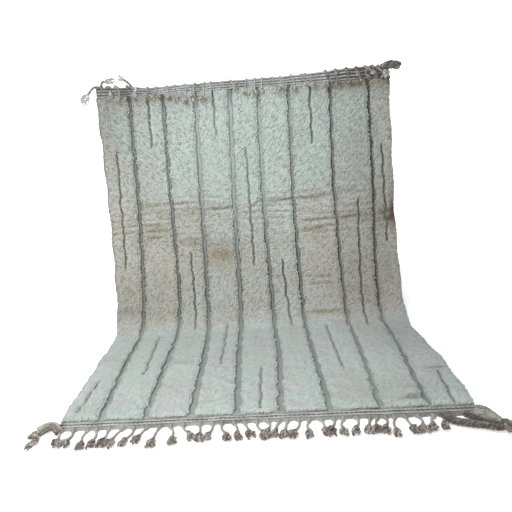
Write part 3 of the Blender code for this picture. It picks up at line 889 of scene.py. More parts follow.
def pile_look(name):
    """Knotted wool: ivory with drifts of tone, painted shade at the foot of the pile and in streaks
    between the tufts, greyer wool and painted shade where marked, tan and rust stains where marked,
    and painted shadow in the bare short lines.

    Matted and even where the rug lies, grainy where it hangs.
    """
    look = Look(name, roughness=0.95, sheen=0.2)
    spot = look.attribute("place", "Vector")
    marks = look.attribute("marks", "Vector")
    depth = look.attribute("depth")
    soil = look.attribute("soil")
    tone = look.attribute("tone")
    x, s = look.part(spot, 0), look.part(spot, 1)
    flat = look.ramp(s, LYING_FROM, LYING_TO)
    # the wool's lie: level across the creased middle, falling to the right at the upper left,
    # climbing to the right elsewhere
    falling = look.ramp(0 - x, 0.10, 0.40) * look.ramp(0 - s, -0.85, -0.55)
    level = look.ramp(s, 0.60, 0.80) * look.ramp(0 - s, -1.30, -1.10) * look.ramp(0 - x, -0.50, -0.20)
    lie = look.streaks(spot, 0.0, 64.0, 2.0) * level + look.streaks(spot, -0.80, 64.0, 2.2) * (1 - level)
    lie = look.streaks(spot, 0.75, 64.0, 2.0) * falling + lie * (1 - falling)
    drift = look.noise(spot, 3.2, 3.0)
    cloud = look.noise(spot, 6.0, 2.0)
    speck = look.noise(spot, 95.0, 2.0, 0.6)
    fibre = look.noise(spot, 620.0, 3.0, 0.65)
    colour = look.mix(look.ramp(drift + tone * 0.8 - 0.4, 0.3, 0.75), COOL_IVORY, WARM_IVORY)
    colour = look.mix(look.ramp(cloud, 0.42, 0.62) * (0.30 + 0.40 * flat), colour, LILAC)
    # the tan mark: tan stains, and painted shade in the troughs of wrinkles and ripples
    stain_and_crease_shade = look.part(marks, 0)
    colour = look.mix(stain_and_crease_shade * look.ramp(speck + stain_and_crease_shade * 0.12, 0.38, 0.60), colour, TAN)
    colour = look.mix(look.part(marks, 1), colour, RUST)
    # painted shade: darker low in the pile, by the depth each point carries; less contrast where the rug
    # lies
    grain = 1 - 0.50 * flat
    shade = 1 - (1 - look.ramp(depth, 0.10, 1.15)) * grain * 0.50
    # painted shade: dark streaks in the gaps between leaning tufts, along the wool's lie, weaker where it
    # lies
    shade = shade * (1.02 - (1 - look.ramp(lie, 0.36, 0.53)) * (1 - 0.42 * flat) * 0.36)
    # painted shade: darker where the soil marks say, and the lying part painted a little darker
    shade = shade * (1 - 0.42 * soil) * (1 - 0.14 * flat)
    # painted shadow where a short line is bare
    colour = look.mix(look.part(marks, 2), look.shaded(colour, shade), SHORT_DARK)
    return look.finish(colour, fibre * 0.4 + lie * 1.3, 0.0030)


def weave_look(name, light, dark, darkened, warp_pitch, weft_pitch):
    """Flat weave: weft rows as ridges along x, each dipping under every other warp."""
    look = Look(name, roughness=0.9, sheen=0.1)
    spot = look.attribute("place", "Vector")
    x, s = look.part(spot, 0), look.part(spot, 1)
    weft = look.wave(s, weft_pitch)
    over = look.wave(x, 2 * warp_pitch) * look.wave(s, 2 * weft_pitch, 0.8)
    fibre = look.noise(spot, 700.0, 3.0, 0.65)
    blot = look.noise(spot, 90.0, 2.0, 0.6)
    colour = look.mix(look.ramp(look.noise(spot, 9.0, 3.0), 0.3, 0.7), light, dark)
    # darker where the marks say: grime, and on the lines and the lower band painted shade too
    darkening = look.part(look.attribute("marks", "Vector"), 0)
    colour = look.mix(look.ramp(darkening * 1.2 + (blot - 0.5) * 2.4 * darkening, 0.0, 1.0), colour, darkened)
    shade = look.ramp(weft + over * 0.6 + fibre * 0.5, -1.2, 1.4) * 0.34 + 0.72
    height = weft * 0.5 + over * 0.35 + fibre * 0.35
    return look.finish(look.shaded(colour, shade), height, 0.0016)


def yarn_look(name, light, dark, patchy=0.7):
    """Plied wool yarn: each strand of its own tone, patchy, with fibres."""
    look = Look(name, roughness=0.9, sheen=0.2)
    spot = look.add("TexCoord", out="Object")
    tint = look.attribute("tint")
    fibre = look.noise(spot, 520.0, 3.0, 0.7)
    patch = look.noise(spot, 95.0, 2.0)
    colour = look.mix(look.ramp(tint + (patch - 0.5) * patchy * 2.0, 0.05, 0.95), dark, light)
    return look.finish(look.shaded(colour, 0.74 + 0.45 * fibre), fibre, 0.0014)


def back_look(name):
    """Back of the cloth: two rows of nubs for each row of knots, plain weave along the lines."""
    look = Look(name, roughness=0.92, sheen=0.1)
    spot = look.attribute("place", "Vector")
    plain = look.part(look.attribute("marks", "Vector"), 2)
    column = look.wave(look.part(spot, 0), TUFT_PITCH)
    row = look.wave(look.part(spot, 1), PILE_LENGTH / TUFT_ROWS)
    weft = look.wave(look.part(spot, 1), 0.0045)
    knots = look.ramp(column * 0.5 + row * 0.8, -0.7, 1.0) * (1 - plain)
    height = knots * 0.9 + weft * 0.25 + look.noise(spot, 600.0, 3.0, 0.65) * 0.3
    colour = look.mix(look.ramp(look.noise(spot, 5.0, 3.0), 0.3, 0.7), BAND_GREY, BED_GREY)
    colour = look.mix(knots * 0.85, colour, IVORY)
    shade = 0.72 + 0.34 * look.ramp(height, -0.1, 1.4)
    return look.finish(look.shaded(colour, shade), height, 0.0018)


PILE_WOOL = pile_look("ivory_pile")
LINE_WEAVE = weave_look("line_weave", BED_GREY, BED_SHADE, BED_DARK, 0.008, 0.0048)
UPPER_WEAVE = weave_look("upper_band_weave", UPPER_GREY, UPPER_SHADE, UPPER_DIRT, 0.0075, 0.0046)
LOWER_WEAVE = weave_look("lower_band_weave", BAND_GREY, BAND_SHADE, BAND_DIRT_AND_SHADE, 0.0075, 0.0046)
BACK_WEAVE = back_look("back_of_knots")
UPPER_TWINE = yarn_look("upper_twined_yarn", (0.44, 0.47, 0.475), (0.125, 0.108, 0.090), 0.35)
LOWER_TWINE = yarn_look("lower_twined_yarn", (0.49, 0.505, 0.48), (0.170, 0.170, 0.155), 0.3)
FRINGE_YARN = yarn_look("fringe_yarn", (0.40, 0.385, 0.340), (0.088, 0.064, 0.053))
UPPER_HEADS = yarn_look("upper_fringe_yarn", (0.50, 0.51, 0.47), (0.150, 0.128, 0.100))
DARK_YARN = yarn_look("dark_yarn", (0.33, 0.32, 0.28), (0.045, 0.038, 0.031))
LOWER_NECK = yarn_look("lower_neck_yarn", (0.34, 0.345, 0.315), (0.185, 0.178, 0.150))
UPPER_NECK = yarn_look("upper_neck_yarn", (0.315, 0.330, 0.330), (0.110, 0.096, 0.078))
LOOSE_YARN = yarn_look("pale_yarn", (0.50, 0.515, 0.515), (0.210, 0.218, 0.212), 0.6)


def tone_of(x, s):
    """Warmth of the wool from 0 to 1: warm low on the hanging part and at its sides; partly the wool's
    own tone, partly a painted warm cast of the light.
    """
    low = smooth_step((s - 0.45) / 0.75)
    side = np.clip(np.abs(x + 0.05) - 0.25, 0, 1) ** 1.3
    hung = np.clip(0.12 + 0.55 * low + 0.75 * side, 0, 1)
    laid = 0.24 + 0.14 * rolling(x, s, 0.45, 12)
    share = smooth_step((s - 1.58 - 0.05 * rolling(x, s, 0.3, 13)) / 0.18)
    return hung * (1 - share) + laid * share


# ---------------------------------------------------------------- the pile


def ripples(x, s):
    """Shallow waves along the creased middle of the hanging part: a sine in s, strong in places."""
    wave = np.sin(2 * math.pi * (s + 0.018 * rolling(x, s * 0, 0.35, 61)) / RIPPLE_PITCH)
    strong = np.clip(0.5 + 0.6 * rolling(x, s, 0.30, 62), 0, 1)
    return RIPPLE_RISE * wave * spans(s, RIPPLE_FROM, RIPPLE_TO, 0.10) * strong


def pile_top(x, s):
    """Full height of the pile: flat, plus low waves, clumps, ripples, swells and wrinkles."""
    height = WEAVE + PILE + ROLL_RISE * rolling(x, s, ROLL_PITCH, 8)
    height = height + CRUMB_RISE * (crumbs(x, s, CRUMB_PITCH, 3) - 0.6)
    return height + bells(SWELLS, x, s) + wrinkles(x, s) + ripples(x, s)


def pile_attributes(x, s, h, depth, bed, tint):
    """What the pile's material reads: place, marks, depth in the pile, warmth, and soil with painted
    shade.

    The marks are tan, with painted shade in the troughs of wrinkles and ripples; rust; and where a
    short line is bare, painted shadow.
    """
    # painted shade in the troughs of the wrinkles, weaker where the rug lies, and of the ripples
    crease_shade = np.clip(-wrinkles(x, s) / 0.009, 0, 1) * (0.45 + 0.55 * crumbs(x, s, 0.045, 19))
    crease_shade = 0.50 * crease_shade * (1 - 0.5 * lying_share(s)) + np.clip(-ripples(x, s) / 0.010, 0, 1)
    marks = bells(TAN_MARKS, x, s) + crease_shade, bells(RUST_MARKS, x, s), np.broadcast_to(bed, x.shape)
    return {
        "place": np.stack((x.ravel(), s.ravel(), h.ravel()), axis=1),
        "marks": np.stack([np.clip(mark, 0, 1).ravel() for mark in marks], axis=1),
        "depth": depth.ravel(),
        "tone": (tone_of(x, s) + tint).ravel(),
        "soil": np.clip(bells(SOIL_AND_SHADE_MARKS, x, s), 0, 1).ravel(),
    }


def panel_grid(panel, rows, inset):
    """Columns of one panel from left to right at the tufts' pitch, and which of them fill the bed.

    Shares of the way from the panel's left edge to its short line, across that, and on to the
    right edge; inset keeps them off the edges.
    """
    left, right = panel_edges(panel, rows)
    short_left, short_right, opening = short_edges(panel, rows)
    first, last = left + inset, right - inset
    before, after = short_left - inset, short_right + inset
    count_left = max(1, round(float(np.mean(before - first)) / TUFT_PITCH))
    count_right = max(1, round(float(np.mean(last - after)) / TUFT_PITCH))
    runs = (
        (first, before, np.linspace(0, 1, count_left + 1)),
        (before, after, np.array([1 / 3, 2 / 3])),
        (after, last, np.linspace(0, 1, count_right + 1)),
    )
    x = np.concatenate([a[:, None] + (b - a)[:, None] * share for a, b, share in runs], axis=1)
    return x, opening, count_left


def build_panel(panel):
    """The dense lower pile of one panel: a closed body with a lumpy top, walls and a hidden foot."""
    rows = np.linspace(0, PILE_LENGTH, TUFT_ROWS + 1)
    left, right = panel_edges(panel, rows)
    x, opening, count_left = panel_grid(panel, rows, BODY_INSET)
    in_bed = np.zeros(x.shape)
    in_bed[:, count_left + 1 : count_left + 3] = opening[:, None]
    x = x + random.uniform(-1, 1, x.shape) * BODY_SHAKE[0]
    s = skewed(rows[:, None], x) + random.uniform(-1, 1, x.shape) * BODY_SHAKE[1]
    s[0], s[-1] = skewed(rows[0], x[0]), skewed(rows[-1], x[-1])
    drop = BODY_DROP[0] + (BODY_DROP[1] - BODY_DROP[0]) * lying_share(s)
    high = pile_top(x, s) - drop + random.uniform(-1, 1, x.shape) * BODY_SHAKE[2]
    high[:, [0, -1]] -= BODY_EDGE
    high[:, [1, -2]] -= BODY_NEXT
    high[[0, -1]] -= BODY_END
    high = np.maximum(high, WEAVE + 0.0010) * (1 - in_bed) + BED_H * in_bed
    # painted shadow in a bare short line: its share of the dark colour, mottled into ragged dark notches
    bed_tone = in_bed * (0.25 - 0.20 * lying_share(s) + 0.85 * bed_dirt_and_shade(x, s))
    mottled = 0.36 + 0.75 * crumbs(x, s, 0.017, 9) + 0.42 * crumbs(x, s, 0.050, 29)
    bed_tone = np.clip(bed_tone * mottled, 0, 1)
    # walls: a bulging middle and a foot on each side
    bulge = random.uniform(*WALL_BULGE, (2, len(rows)))
    feet = left + WALL_INSET, right - WALL_INSET
    wall_x = np.stack((feet[0], left - bulge[0], right + bulge[1], feet[1]), axis=1)
    wall_h = np.full((len(rows), 4), WEAVE - FOOT_SINK)
    wall_h[:, 1] = (WEAVE + high[:, 0]) / 2
    wall_h[:, 2] = (WEAVE + high[:, -1]) / 2
    wall_s = skewed(rows[:, None], wall_x)
    across = np.concatenate((wall_x[:, :2], x, wall_x[:, 2:]), axis=1)
    along = np.concatenate((wall_s[:, :2], s, wall_s[:, 2:]), axis=1)
    height = np.concatenate((wall_h[:, :2], high, wall_h[:, 2:]), axis=1)
    index = np.arange(across.size).reshape(across.shape)
    ends = [index[0][None, :], index[-1][::-1][None, :]]
    groups = [quads(index)[:, ::-1], quads(index[:, [-1, 0]])[:, ::-1], *ends]
    bed = np.pad(bed_tone, ((0, 0), (2, 2)))
    # painted shade: the dense lower pile is darker the lower it lies, a little less so where the rug lies
    depth = np.clip((height - WEAVE) / PILE, 0, 1) * (0.70 + 0.22 * lying_share(along))
    attributes = pile_attributes(across, along, height, depth, bed, 0.0)
    laid = place(across, along, height)
    return put_piece("rug_pile", f"pile_panel_{panel}", laid, groups, [PILE_WOOL], attributes)


def tuft_spots():
    """Root of every tuft (across, along), and which way it must lean (0 where it may choose).

    A tuft beside a line or a side leans out over it; one in the last row leans past the end of the
    pile.
    """
    rows = (np.arange(TUFT_ROWS) + 0.5) * PILE_LENGTH / TUFT_ROWS
    out = []
    for panel in range(len(LINES) + 1):
        x, opening, count_left = panel_grid(panel, rows, TUFT_INSET)
        is_open = opening > 0.5
        outward = np.zeros(x.shape)
        outward[:, 0] = -1 if panel > 0 else -0.02
        outward[:, -1] = 1 if panel < len(LINES) else 0.02
        outward[:, count_left] += is_open
        outward[:, count_left + 3] -= is_open
        keep = np.ones(x.shape, bool)
        keep[:, count_left + 1 : count_left + 3] = ~is_open[:, None]
        shake = np.where(outward == 0, TUFT_SHAKE[0], TUFT_SHAKE[1])
        x = x + random.uniform(-1, 1, x.shape) * shake
        s = rows[:, None] + random.uniform(-1, 1, x.shape) * TUFT_SHAKE[2]
        ends = np.zeros(x.shape)
        ends[-1] = 1
        out.append(np.stack([v[keep] for v in (x, s, outward, ends)]))
    x, s, outward, ends = np.concatenate(out, axis=1)
    return x, skewed(s, x), outward, ends


def clumps(x, s):
    """The clump each tuft leans into: the way to its middle, across and along, and its tone, -1 to 1.

    Clumps gather round the shaken points of a grid. The grid is drawn out along a slant that
    climbs to the right on the right half and falls to the right at the upper left.
    """
    side = x + 0.12 * rolling(x, s, 0.40, 41)
    turn = np.where(side > -0.05, -0.85, np.where((side < -0.35) & (s < 0.8), 0.75, 0.0))
    long = np.where(turn == 0.0, CLUMP_LEVEL, CLUMP_LONG)
    cosine, sine = np.cos(turn), np.sin(turn)
    u, v = (x * cosine + s * sine) / long + 500.0, (s * cosine - x * sine) / CLUMP_SHORT + 500.0
    _, way_u, way_v, tone = nearest_point(u, v, 17)
    way_u, way_v = way_u * long, way_v * CLUMP_SHORT
    return way_u * cosine - way_v * sine, way_u * sine + way_v * cosine, tone


def tuft_leans(x, s, outward, ends):
    """How each tuft leans, across and along: into its clump, with drifts and a whim of its own.

    Gives the clump's tone too.
    """
    count = len(x)
    lying = lying_share(s)
    right = smooth_step((x + 0.10) / 0.4) * (1 - lying)
    left = smooth_step((-0.25 - x) / 0.3) * smooth_step((1.0 - s) / 0.4)
    into_x, into_s, tone = clumps(x, s)
    pull = (0.40 - 0.10 * lying) / 0.0125
    lean_x = pull * into_x + 0.20 * rolling(x, s, 0.090, 21) - 0.70 * right + 0.50 * left
    lean_s = pull * into_s + 0.42 + 0.30 * right + 0.10 * left + 0.15 * rolling(x, s, 0.080, 23)
    lean_x = lean_x + random.normal(0, LEAN_WHIM, count)
    lean_s = lean_s + random.normal(0, LEAN_WHIM, count)
    over = 0.08 + 0.65 * rolling(x, s, 0.026, 25) + random.uniform(-0.35, 0.35, count)
    over = over * (1 - 0.3 * lying)
    lean_x = np.where(outward != 0, outward * over, lean_x)
    lean_s = np.where(ends != 0, ends * random.uniform(0.15, 0.60, count), lean_s)
    return lean_x, lean_s, tone


def tuft_bodies(x, s, h, way, lean, length, radius):
    """Points of every tuft, in the rug's own directions: two rings of four round it, and its tip.

    A tuft's axis leaves its root at part of its full lean and bends further beyond the shoulder.
    Each ring is cosine times the level vector square to the lean plus sine times the one square to
    both.
    """
    runs, bends = length[:, None] * np.array(TUFT_RUNS), lean[:, None] * np.array(TUFT_BENDS)
    reach = np.cumsum(runs * np.sin(bends), axis=1)
    rise = h[:, None] + np.cumsum(runs * np.cos(bends), axis=1)
    middle = np.stack((x[:, None] + way[:, :1] * reach, s[:, None] + way[:, 1:] * reach, rise), axis=2)
    start = random.uniform(0, math.pi / 2, len(x))[:, None] + np.arange(4) * math.pi / 2
    level = np.stack((-way[:, 1], way[:, 0], 0 * x), axis=1)
    rings = []
    for step, (bend, thick) in enumerate(TUFT_RINGS):
        cosine, sine = np.cos(bend * lean), np.sin(bend * lean)
        across = np.stack((way[:, 0] * cosine, way[:, 1] * cosine, -sine), axis=1)
        ring = level[:, None] * np.cos(start)[:, :, None] + across[:, None] * np.sin(start)[:, :, None]
        rings.append(middle[:, step, None] + ring * (radius * thick)[:, None, None])
    return np.concatenate((*rings, middle[:, 2:3]), axis=1)


def build_tufts():
    """Tufts: four-sided, thickest at the shoulder, bending over to a blunt tip; some stand lower."""
    x, s, outward, ends = tuft_spots()
    lean_x, lean_s, tone = tuft_leans(x, s, outward, ends)
    count = len(x)
    amount = np.hypot(lean_x, lean_s)
    way = np.stack((lean_x, lean_s), axis=1) / np.maximum(amount, 1e-6)[:, None]
    lying = lying_share(s)
    lean = np.clip(0.40 + 0.55 * amount + 0.30 * lying, 0.30, 1.25)
    length = TUFT_LENGTH * random.uniform(0.84, 1.16, count)
    radius = random.uniform(*TUFT_RADIUS, count) * (1 + 0.15 * lying)
    sunk = random.uniform(0, 1, count) < SUNK_SHARE
    sink = TUFT_SINK[0] + (TUFT_SINK[1] - TUFT_SINK[0]) * lying + SUNK_BY * sunk * (1 - 0.6 * lying)
    root_h = pile_top(x, s) - sink - 0.0020 * np.abs(outward) - 0.0025 * np.abs(ends)
    root_h = root_h + random.normal(0, 0.0007, count)
    low = np.maximum(WEAVE + 0.0002 - root_h, 0)  # in a deep wrinkle a tuft is shorter instead
    points = tuft_bodies(x, s, root_h + low, way, lean, length - low, radius)
    # painted shade: a tuft is darker at its root ring, and a sunk tuft darker all over; the rest is tone
    own = random.normal(0, 0.04, count) + 0.06 * tone - 0.40 * sunk
    depth = np.array([0.30] * 4 + [1.00] * 4 + [1.02]) + own[:, None]
    tint = np.broadcast_to(random.normal(0, 0.16, count)[:, None], depth.shape)
    corner = np.arange(4)
    after = (corner + 1) % 4
    faces = (
        np.stack((corner, after, after + 4, corner + 4), axis=1),
        np.stack((corner + 4, after + 4, np.full(4, 8)), axis=1),
        np.array([[3, 2, 1, 0]]),
    )
    part = np.searchsorted(TUFT_SPLIT, s)
    pieces = []
    for number in range(len(TUFT_SPLIT) + 1):
        chosen = part == number
        spot = points[chosen].reshape(-1, 3).T
        offset = len(depth[0]) * np.arange(np.sum(chosen))[:, None, None]
        groups = [(face + offset).reshape(-1, face.shape[1]) for face in faces]
        attributes = pile_attributes(*spot, depth[chosen], 0.0, tint[chosen].ravel())
        piece = put_piece("rug_pile", f"tufts_{number}", place(*spot), groups, [PILE_WOOL], attributes)
        pieces.append(piece)
    return pieces


# ---------------------------------------------------------------- thin weaves


def build_sheet(node, name, x, s, heights, darkening, plain, materials, over=False):
    """A thin closed sheet: the front and the back of one grid, joined round its rim.

    heights and darkening are for the front and the back, which has the last material; over turns
    the faces, for a grid whose s falls outwards.
    """
    points = np.concatenate([place(x, s, h).reshape(-1, 3) for h in heights])
    index = np.arange(s.size).reshape(s.shape)
    below = index + index.size
    rim = (
        np.stack((below[:, 0], index[:, 0]), axis=1),
        np.stack((index[:, -1], below[:, -1]), axis=1),
        np.stack((below[0], index[0])),
        np.stack((index[-1], below[-1])),
    )
    faces = [quads(index)[:, ::-1], quads(below), *[quads(edge)[:, ::-1] for edge in rim]]
    last = len(materials) - 1
    slots = np.concatenate([np.full(len(f), last if k == 1 else 0) for k, f in enumerate(faces)])
    if over:
        faces = [f[:, ::-1] for f in faces]
    x, s, plain = (np.tile(np.broadcast_to(v, index.shape).ravel(), 2) for v in (x, s, plain))
    darkened = np.concatenate([np.broadcast_to(v, index.shape).ravel() for v in darkening])
    attributes = {
        "place": np.stack((x, s, x * 0), axis=1),
        "marks": np.stack((darkened, x * 0, plain), axis=1),
    }
    return put_piece(node, name, points, faces, materials, attributes, slots)


def weave_columns(rows):
    """Columns of the ground weave; where each is plain: across the lines but not under pile; and
    how much darker it is painted: painted shadow beside the pile, more so at its left.

    Close pairs mark the edges of every line, and even steps fill the rest.
    """
    pair = 0.002
    left, right = side_edges(rows)
    under, bare = np.zeros_like(rows), np.ones_like(rows)
    hung = 1 - lying_share(rows)
    columns = [(left, under, under), (right, under, under)]
    for panel in range(len(LINES) + 1):
        a, b, opening = short_edges(panel, rows)
        columns += [(a - pair, under, under), (a + pair, opening, under)]
        columns += [(b - pair, opening, under), (b + pair, under, under)]
    for number, (first, last) in enumerate(RIM_DARK):
        a, b = long_edges(LINES[number], rows)
        middle = (a + b) / 2 + 0.003 * rolling(a, rows, 0.05, 110 + number)
        columns += [(a - pair, under, first * hung), (a + pair, bare, first * hung)]
        columns += [(middle, bare, -0.12 * hung), (b - pair, bare, last * hung)]
        columns += [(b + pair, under, last * hung)]
    columns.sort(key=lambda column: float(np.mean(column[0])))
    stacks = np.array(columns).transpose(1, 2, 0)
    steps = np.maximum(1, np.ceil(np.diff(stacks[0].mean(axis=0)) / COLUMN_STEP)).astype(int)
    shares = np.concatenate([k + np.arange(n) / n for k, n in enumerate(steps)] + [[len(steps)]])
    first = np.minimum(shares.astype(int), len(steps) - 1)
    part = shares - first
    return stacks[:, :, first] * (1 - part) + stacks[:, :, first + 1] * part


def build_ground():
    """The cloth under the pile: bare weave, with grime and painted shade, at its front; rows of knots
    at its back.
    """
    rows = np.linspace(0, PILE_LENGTH, GROUND_ROWS)
    x, plain, darker = weave_columns(rows)
    s = skewed(rows[:, None], x)
    # darkening of the bare weave: grime and painted shade in the grooves, and painted shadow beside the
    # pile
    darkening, looks = (bed_dirt_and_shade(x, s) + darker, 0.0), [LINE_WEAVE, BACK_WEAVE]
    return build_sheet("rug_pile", "ground_weave", x, s, (WEAVE, 0.0), darkening, plain, looks)


# ---------------------------------------------------------------- end bands


UPPER = SimpleNamespace(
    node="upper_end_band", end=0.0, out=-1, fringe=UPPER_FRINGE, weave=UPPER_WEAVE,
    rows=UPPER_ROWS, rope=UPPER_ROPE, steps=640, sides=5, twine=UPPER_TWINE, tones=(0.85, 0.60),
    ends_darker=(0.34, 0.60),
)
LOWER = SimpleNamespace(
    node="lower_end_band", end=PILE_LENGTH, out=1, fringe=LOWER_FRINGE, weave=LOWER_WEAVE,
    rows=LOWER_ROWS, rope=LOWER_ROPE, steps=800, sides=4, twine=LOWER_TWINE, tones=(0.90, 0.45),
    ends_darker=(0.0, 0.25),
)


def band_columns(band, count):
    """Even places across a band, from side to side."""
    left, right = (float(column_of(SIDES, column, band.end)) for column in (1, 2))
    return np.linspace(left + BAND_INSET, right - BAND_INSET, count)


def band_edges(x, band):
    """Where a band starts, beside the field, and where it ends, at its fringe."""
    x = np.asarray(x, float)
    if band is UPPER:
        return np.full_like(x, -GAP), -column_of(BAND_DEPTH, 1, x)
    start = PILE_LENGTH + SKEW * x + GAP
    return start, start + column_of(BAND_DEPTH, 2, x)


def gathers(x, band):
    """A bell at each tassel's root."""
    roots = np.array([row[0] for row in band.fringe])
    return np.exp(-(((x[..., None] - roots) / GATHER_REACH) ** 2)).sum(axis=-1)


def rumple(x, s, share):
    """Slow waves of a band's twined rows and its edge, from none beside the field."""
    waves = 0.0022 * rolling(x, s * 0, 0.20, 30) + 0.0010 * rolling(x, s * 0, 0.06, 32)
    return waves * np.sin(math.pi * share * 0.75)


def band_darkening(x, s, share, band):
    """Darkening of a band's weave: grime in patches; darker towards both ends of the upper one and
    towards the right of the lower one; painted shade under and between the lower one's rows, and
    painted shadow along the pile's end.
    """
    darkened = np.clip(rolling(x, s, 0.25, 6) * 0.35 + 0.1, 0, 0.5)
    if band is UPPER:
        places = 0.50 * smooth_step((-0.62 - x) / 0.1), 0.85 * smooth_step((x - 0.45) / 0.3)
    else:
        # painted shade under and between the twined rows, and painted shadow along the pile's end
        between = 0.78 * smooth_step((0.70 - share) / 0.06) + 0.60 * smooth_step((0.07 - share) / 0.04)
        places = 0.45 * smooth_step((x - 0.15) / 0.6), between
    return np.maximum(darkened, np.maximum(*places))


def build_band(name, band):
    """Flat weave of an end: a grid from the field to the fringe, its edge drawn out at each tassel."""
    x = band_columns(band, BAND_GRID[0])[None, :]
    start, stop = band_edges(x, band)
    share = np.linspace(0, 1, BAND_GRID[1])[:, None]
    drawn = GATHER_RISE * np.clip(gathers(x, band), 0, 1) - 0.0035
    s = start + (stop - start) * share + band.out * drawn * share**4
    s = s + rumple(x, s, share)
    front = BAND_FRONT - 0.0012 * share**4 + 0.0009 * rolling(x, s, 0.05, 4)
    front = np.where((share == 0) | (share == 1), BAND_EDGE, front)
    darkened = band_darkening(x, s, share, band)
    heights, over = (front, BAND_BACK), band is UPPER
    return build_sheet(band.node, name, x, s, heights, (darkened, darkened), 0.0, [band.weave], over)


def build_twining(name, band):
    """The raised rows of a band: two strands twisted round each other, carried across the rug."""
    x = band_columns(band, band.steps)
    start, stop = band_edges(x, band)
    strand, off, turn, middle = band.rope
    paths = []
    for number, share in enumerate(band.rows):
        s = start + (stop - start) * share + 0.0014 * rolling(x, x * 0, 0.10, 33 + number)
        s = s + rumple(x, s, share)
        line = place(x, s, middle + 0.0010 * rolling(x, s, 0.09, 31))
        paths.append(plied(line, AWAY, off, 2, turn * (-1) ** number, phase=number))
    # the twined rows are darker towards the left and right ends, by the band's own amounts
    left, right = band.ends_darker
    darkening = left * smooth_step((-0.60 - x) / 0.1) + right * smooth_step((x - 0.55) / 0.35)
    tint = np.tile(band.tones, len(band.rows))[:, None] - darkening - 0.25 * rolling(x, x * 0, 0.12, 34)
    skein = Skein(band.sides)
    skein.add(np.concatenate(paths), strand, AWAY, tint)
    return skein.make(name, band.twine, band.node)


# ---------------------------------------------------------------- yarn


UP, ACROSS, AWAY = np.array([0.0, 0.0, 1.0]), (1.0, 0.0, 0.0), (0.0, -0.3, 1.0)


class Skein:
    """Collects tubes of yarn with one number of sides, to be made into one mesh."""

    def __init__(self, sides):
        self.sides, self.count, self.parts = sides, 0, []

    def add(self, paths, radii, lift, tints):
        """Adds tubes of equal step counts, none under the floor; a tint for each tube or step."""
        paths = np.array(paths, float)
        radii = np.broadcast_to(radii, paths.shape[:2])
        paths[:, :, 2] = np.maximum(paths[:, :, 2], FLOOR + radii)
        points = tubes(paths, radii, self.sides, lift).reshape(-1, 3)
        faces = tube_faces(len(paths), paths.shape[1], self.sides, self.count)
        tints = np.broadcast_to(np.asarray(tints).reshape(len(paths), -1), paths.shape[:2])
        self.parts.append((points, *faces, np.repeat(tints, self.sides)))
        self.count += len(points)

    def make(self, name, material, node):
        """The collected tubes as one piece."""
        points, walls, caps, tint = (np.concatenate(part) for part in zip(*self.parts))
        return put_piece(node, name, points, [walls, caps], [material], {"tint": tint})


def tassel_head(skein, knot, way, lift, length, width, strands, thick, curl=0.0045):
    """Loose ends below a knot: a tousled bundle of curly plies with blunt tips.

    Each path runs from the knot along way. It leaves the middle by a width that rises fast and
    stays, towards its own point on a half circle over the ground, and a helix of its own curls it.
    """

    def own(low, high):
        """A number of its own for each strand."""
        return random.uniform(low, high, strands)[:, None, None]

    side = unit(np.cross(way, lift))
    t = np.linspace(0, 1, len(HEAD_TAPER))[None, :, None]
    around = np.linspace(-0.15, 1.15, strands)[:, None, None] + own(-0.08, 0.08)
    around = math.pi * around + own(-0.9, 0.9) * t
    out = width / 2 * own(0.45, 1.05) * np.clip(t / 0.35, 0, 1) ** 0.6
    reach = length * own(0.70, 1.05)
    turn = 2 * math.pi * (own(1.0, 2.2) * t + own(0, 1))
    spread = curl * np.clip(t / 0.2, 0, 1)
    paths = knot + way * reach * t
    paths = paths + side * (out * np.cos(around) + spread * np.sin(turn))
    paths = paths + lift * (0.75 * out * np.abs(np.sin(around)) + spread * np.cos(turn))
    radii = thick * own(0.8, 1.2)[:, :, 0] * HEAD_TAPER
    skein.add(paths, radii, lift, (own(0.05, 1.0) ** 1.4 * (1.05 - 0.5 * t))[:, :, 0])


def knot_wrap(skein, centre, way, lift, radius, thick):
    """A knot: a strand that winds round the cord, fat in the middle."""
    fat = np.sin(math.pi * np.linspace(0, 1, 26))
    line = centre + np.outer(np.linspace(-0.5, 0.5, 26) * thick * 2.6, way)
    path = plied(line, lift, radius * (0.75 + 0.25 * fat), 1, thick * 1.1)
    skein.add(path, thick * (0.75 + 0.35 * fat), way, random.uniform(0.05, 0.5, 1))


def cord(skein, stations, tints, lift, plies, radius, ply, pitch):
    """A thick twisted cord along a few stations; gives its path."""
    path = route(stations, 34)
    skein.add(plied(path, lift, radius, plies, pitch), ply, lift, tints)
    return path


def lift_off(x, s):
    """The way straight off the rug at a place on it."""
    return unit(place(x, s, 0.01) - place(x, s, 0.0))


# ---------------------------------------------------------------- fringe


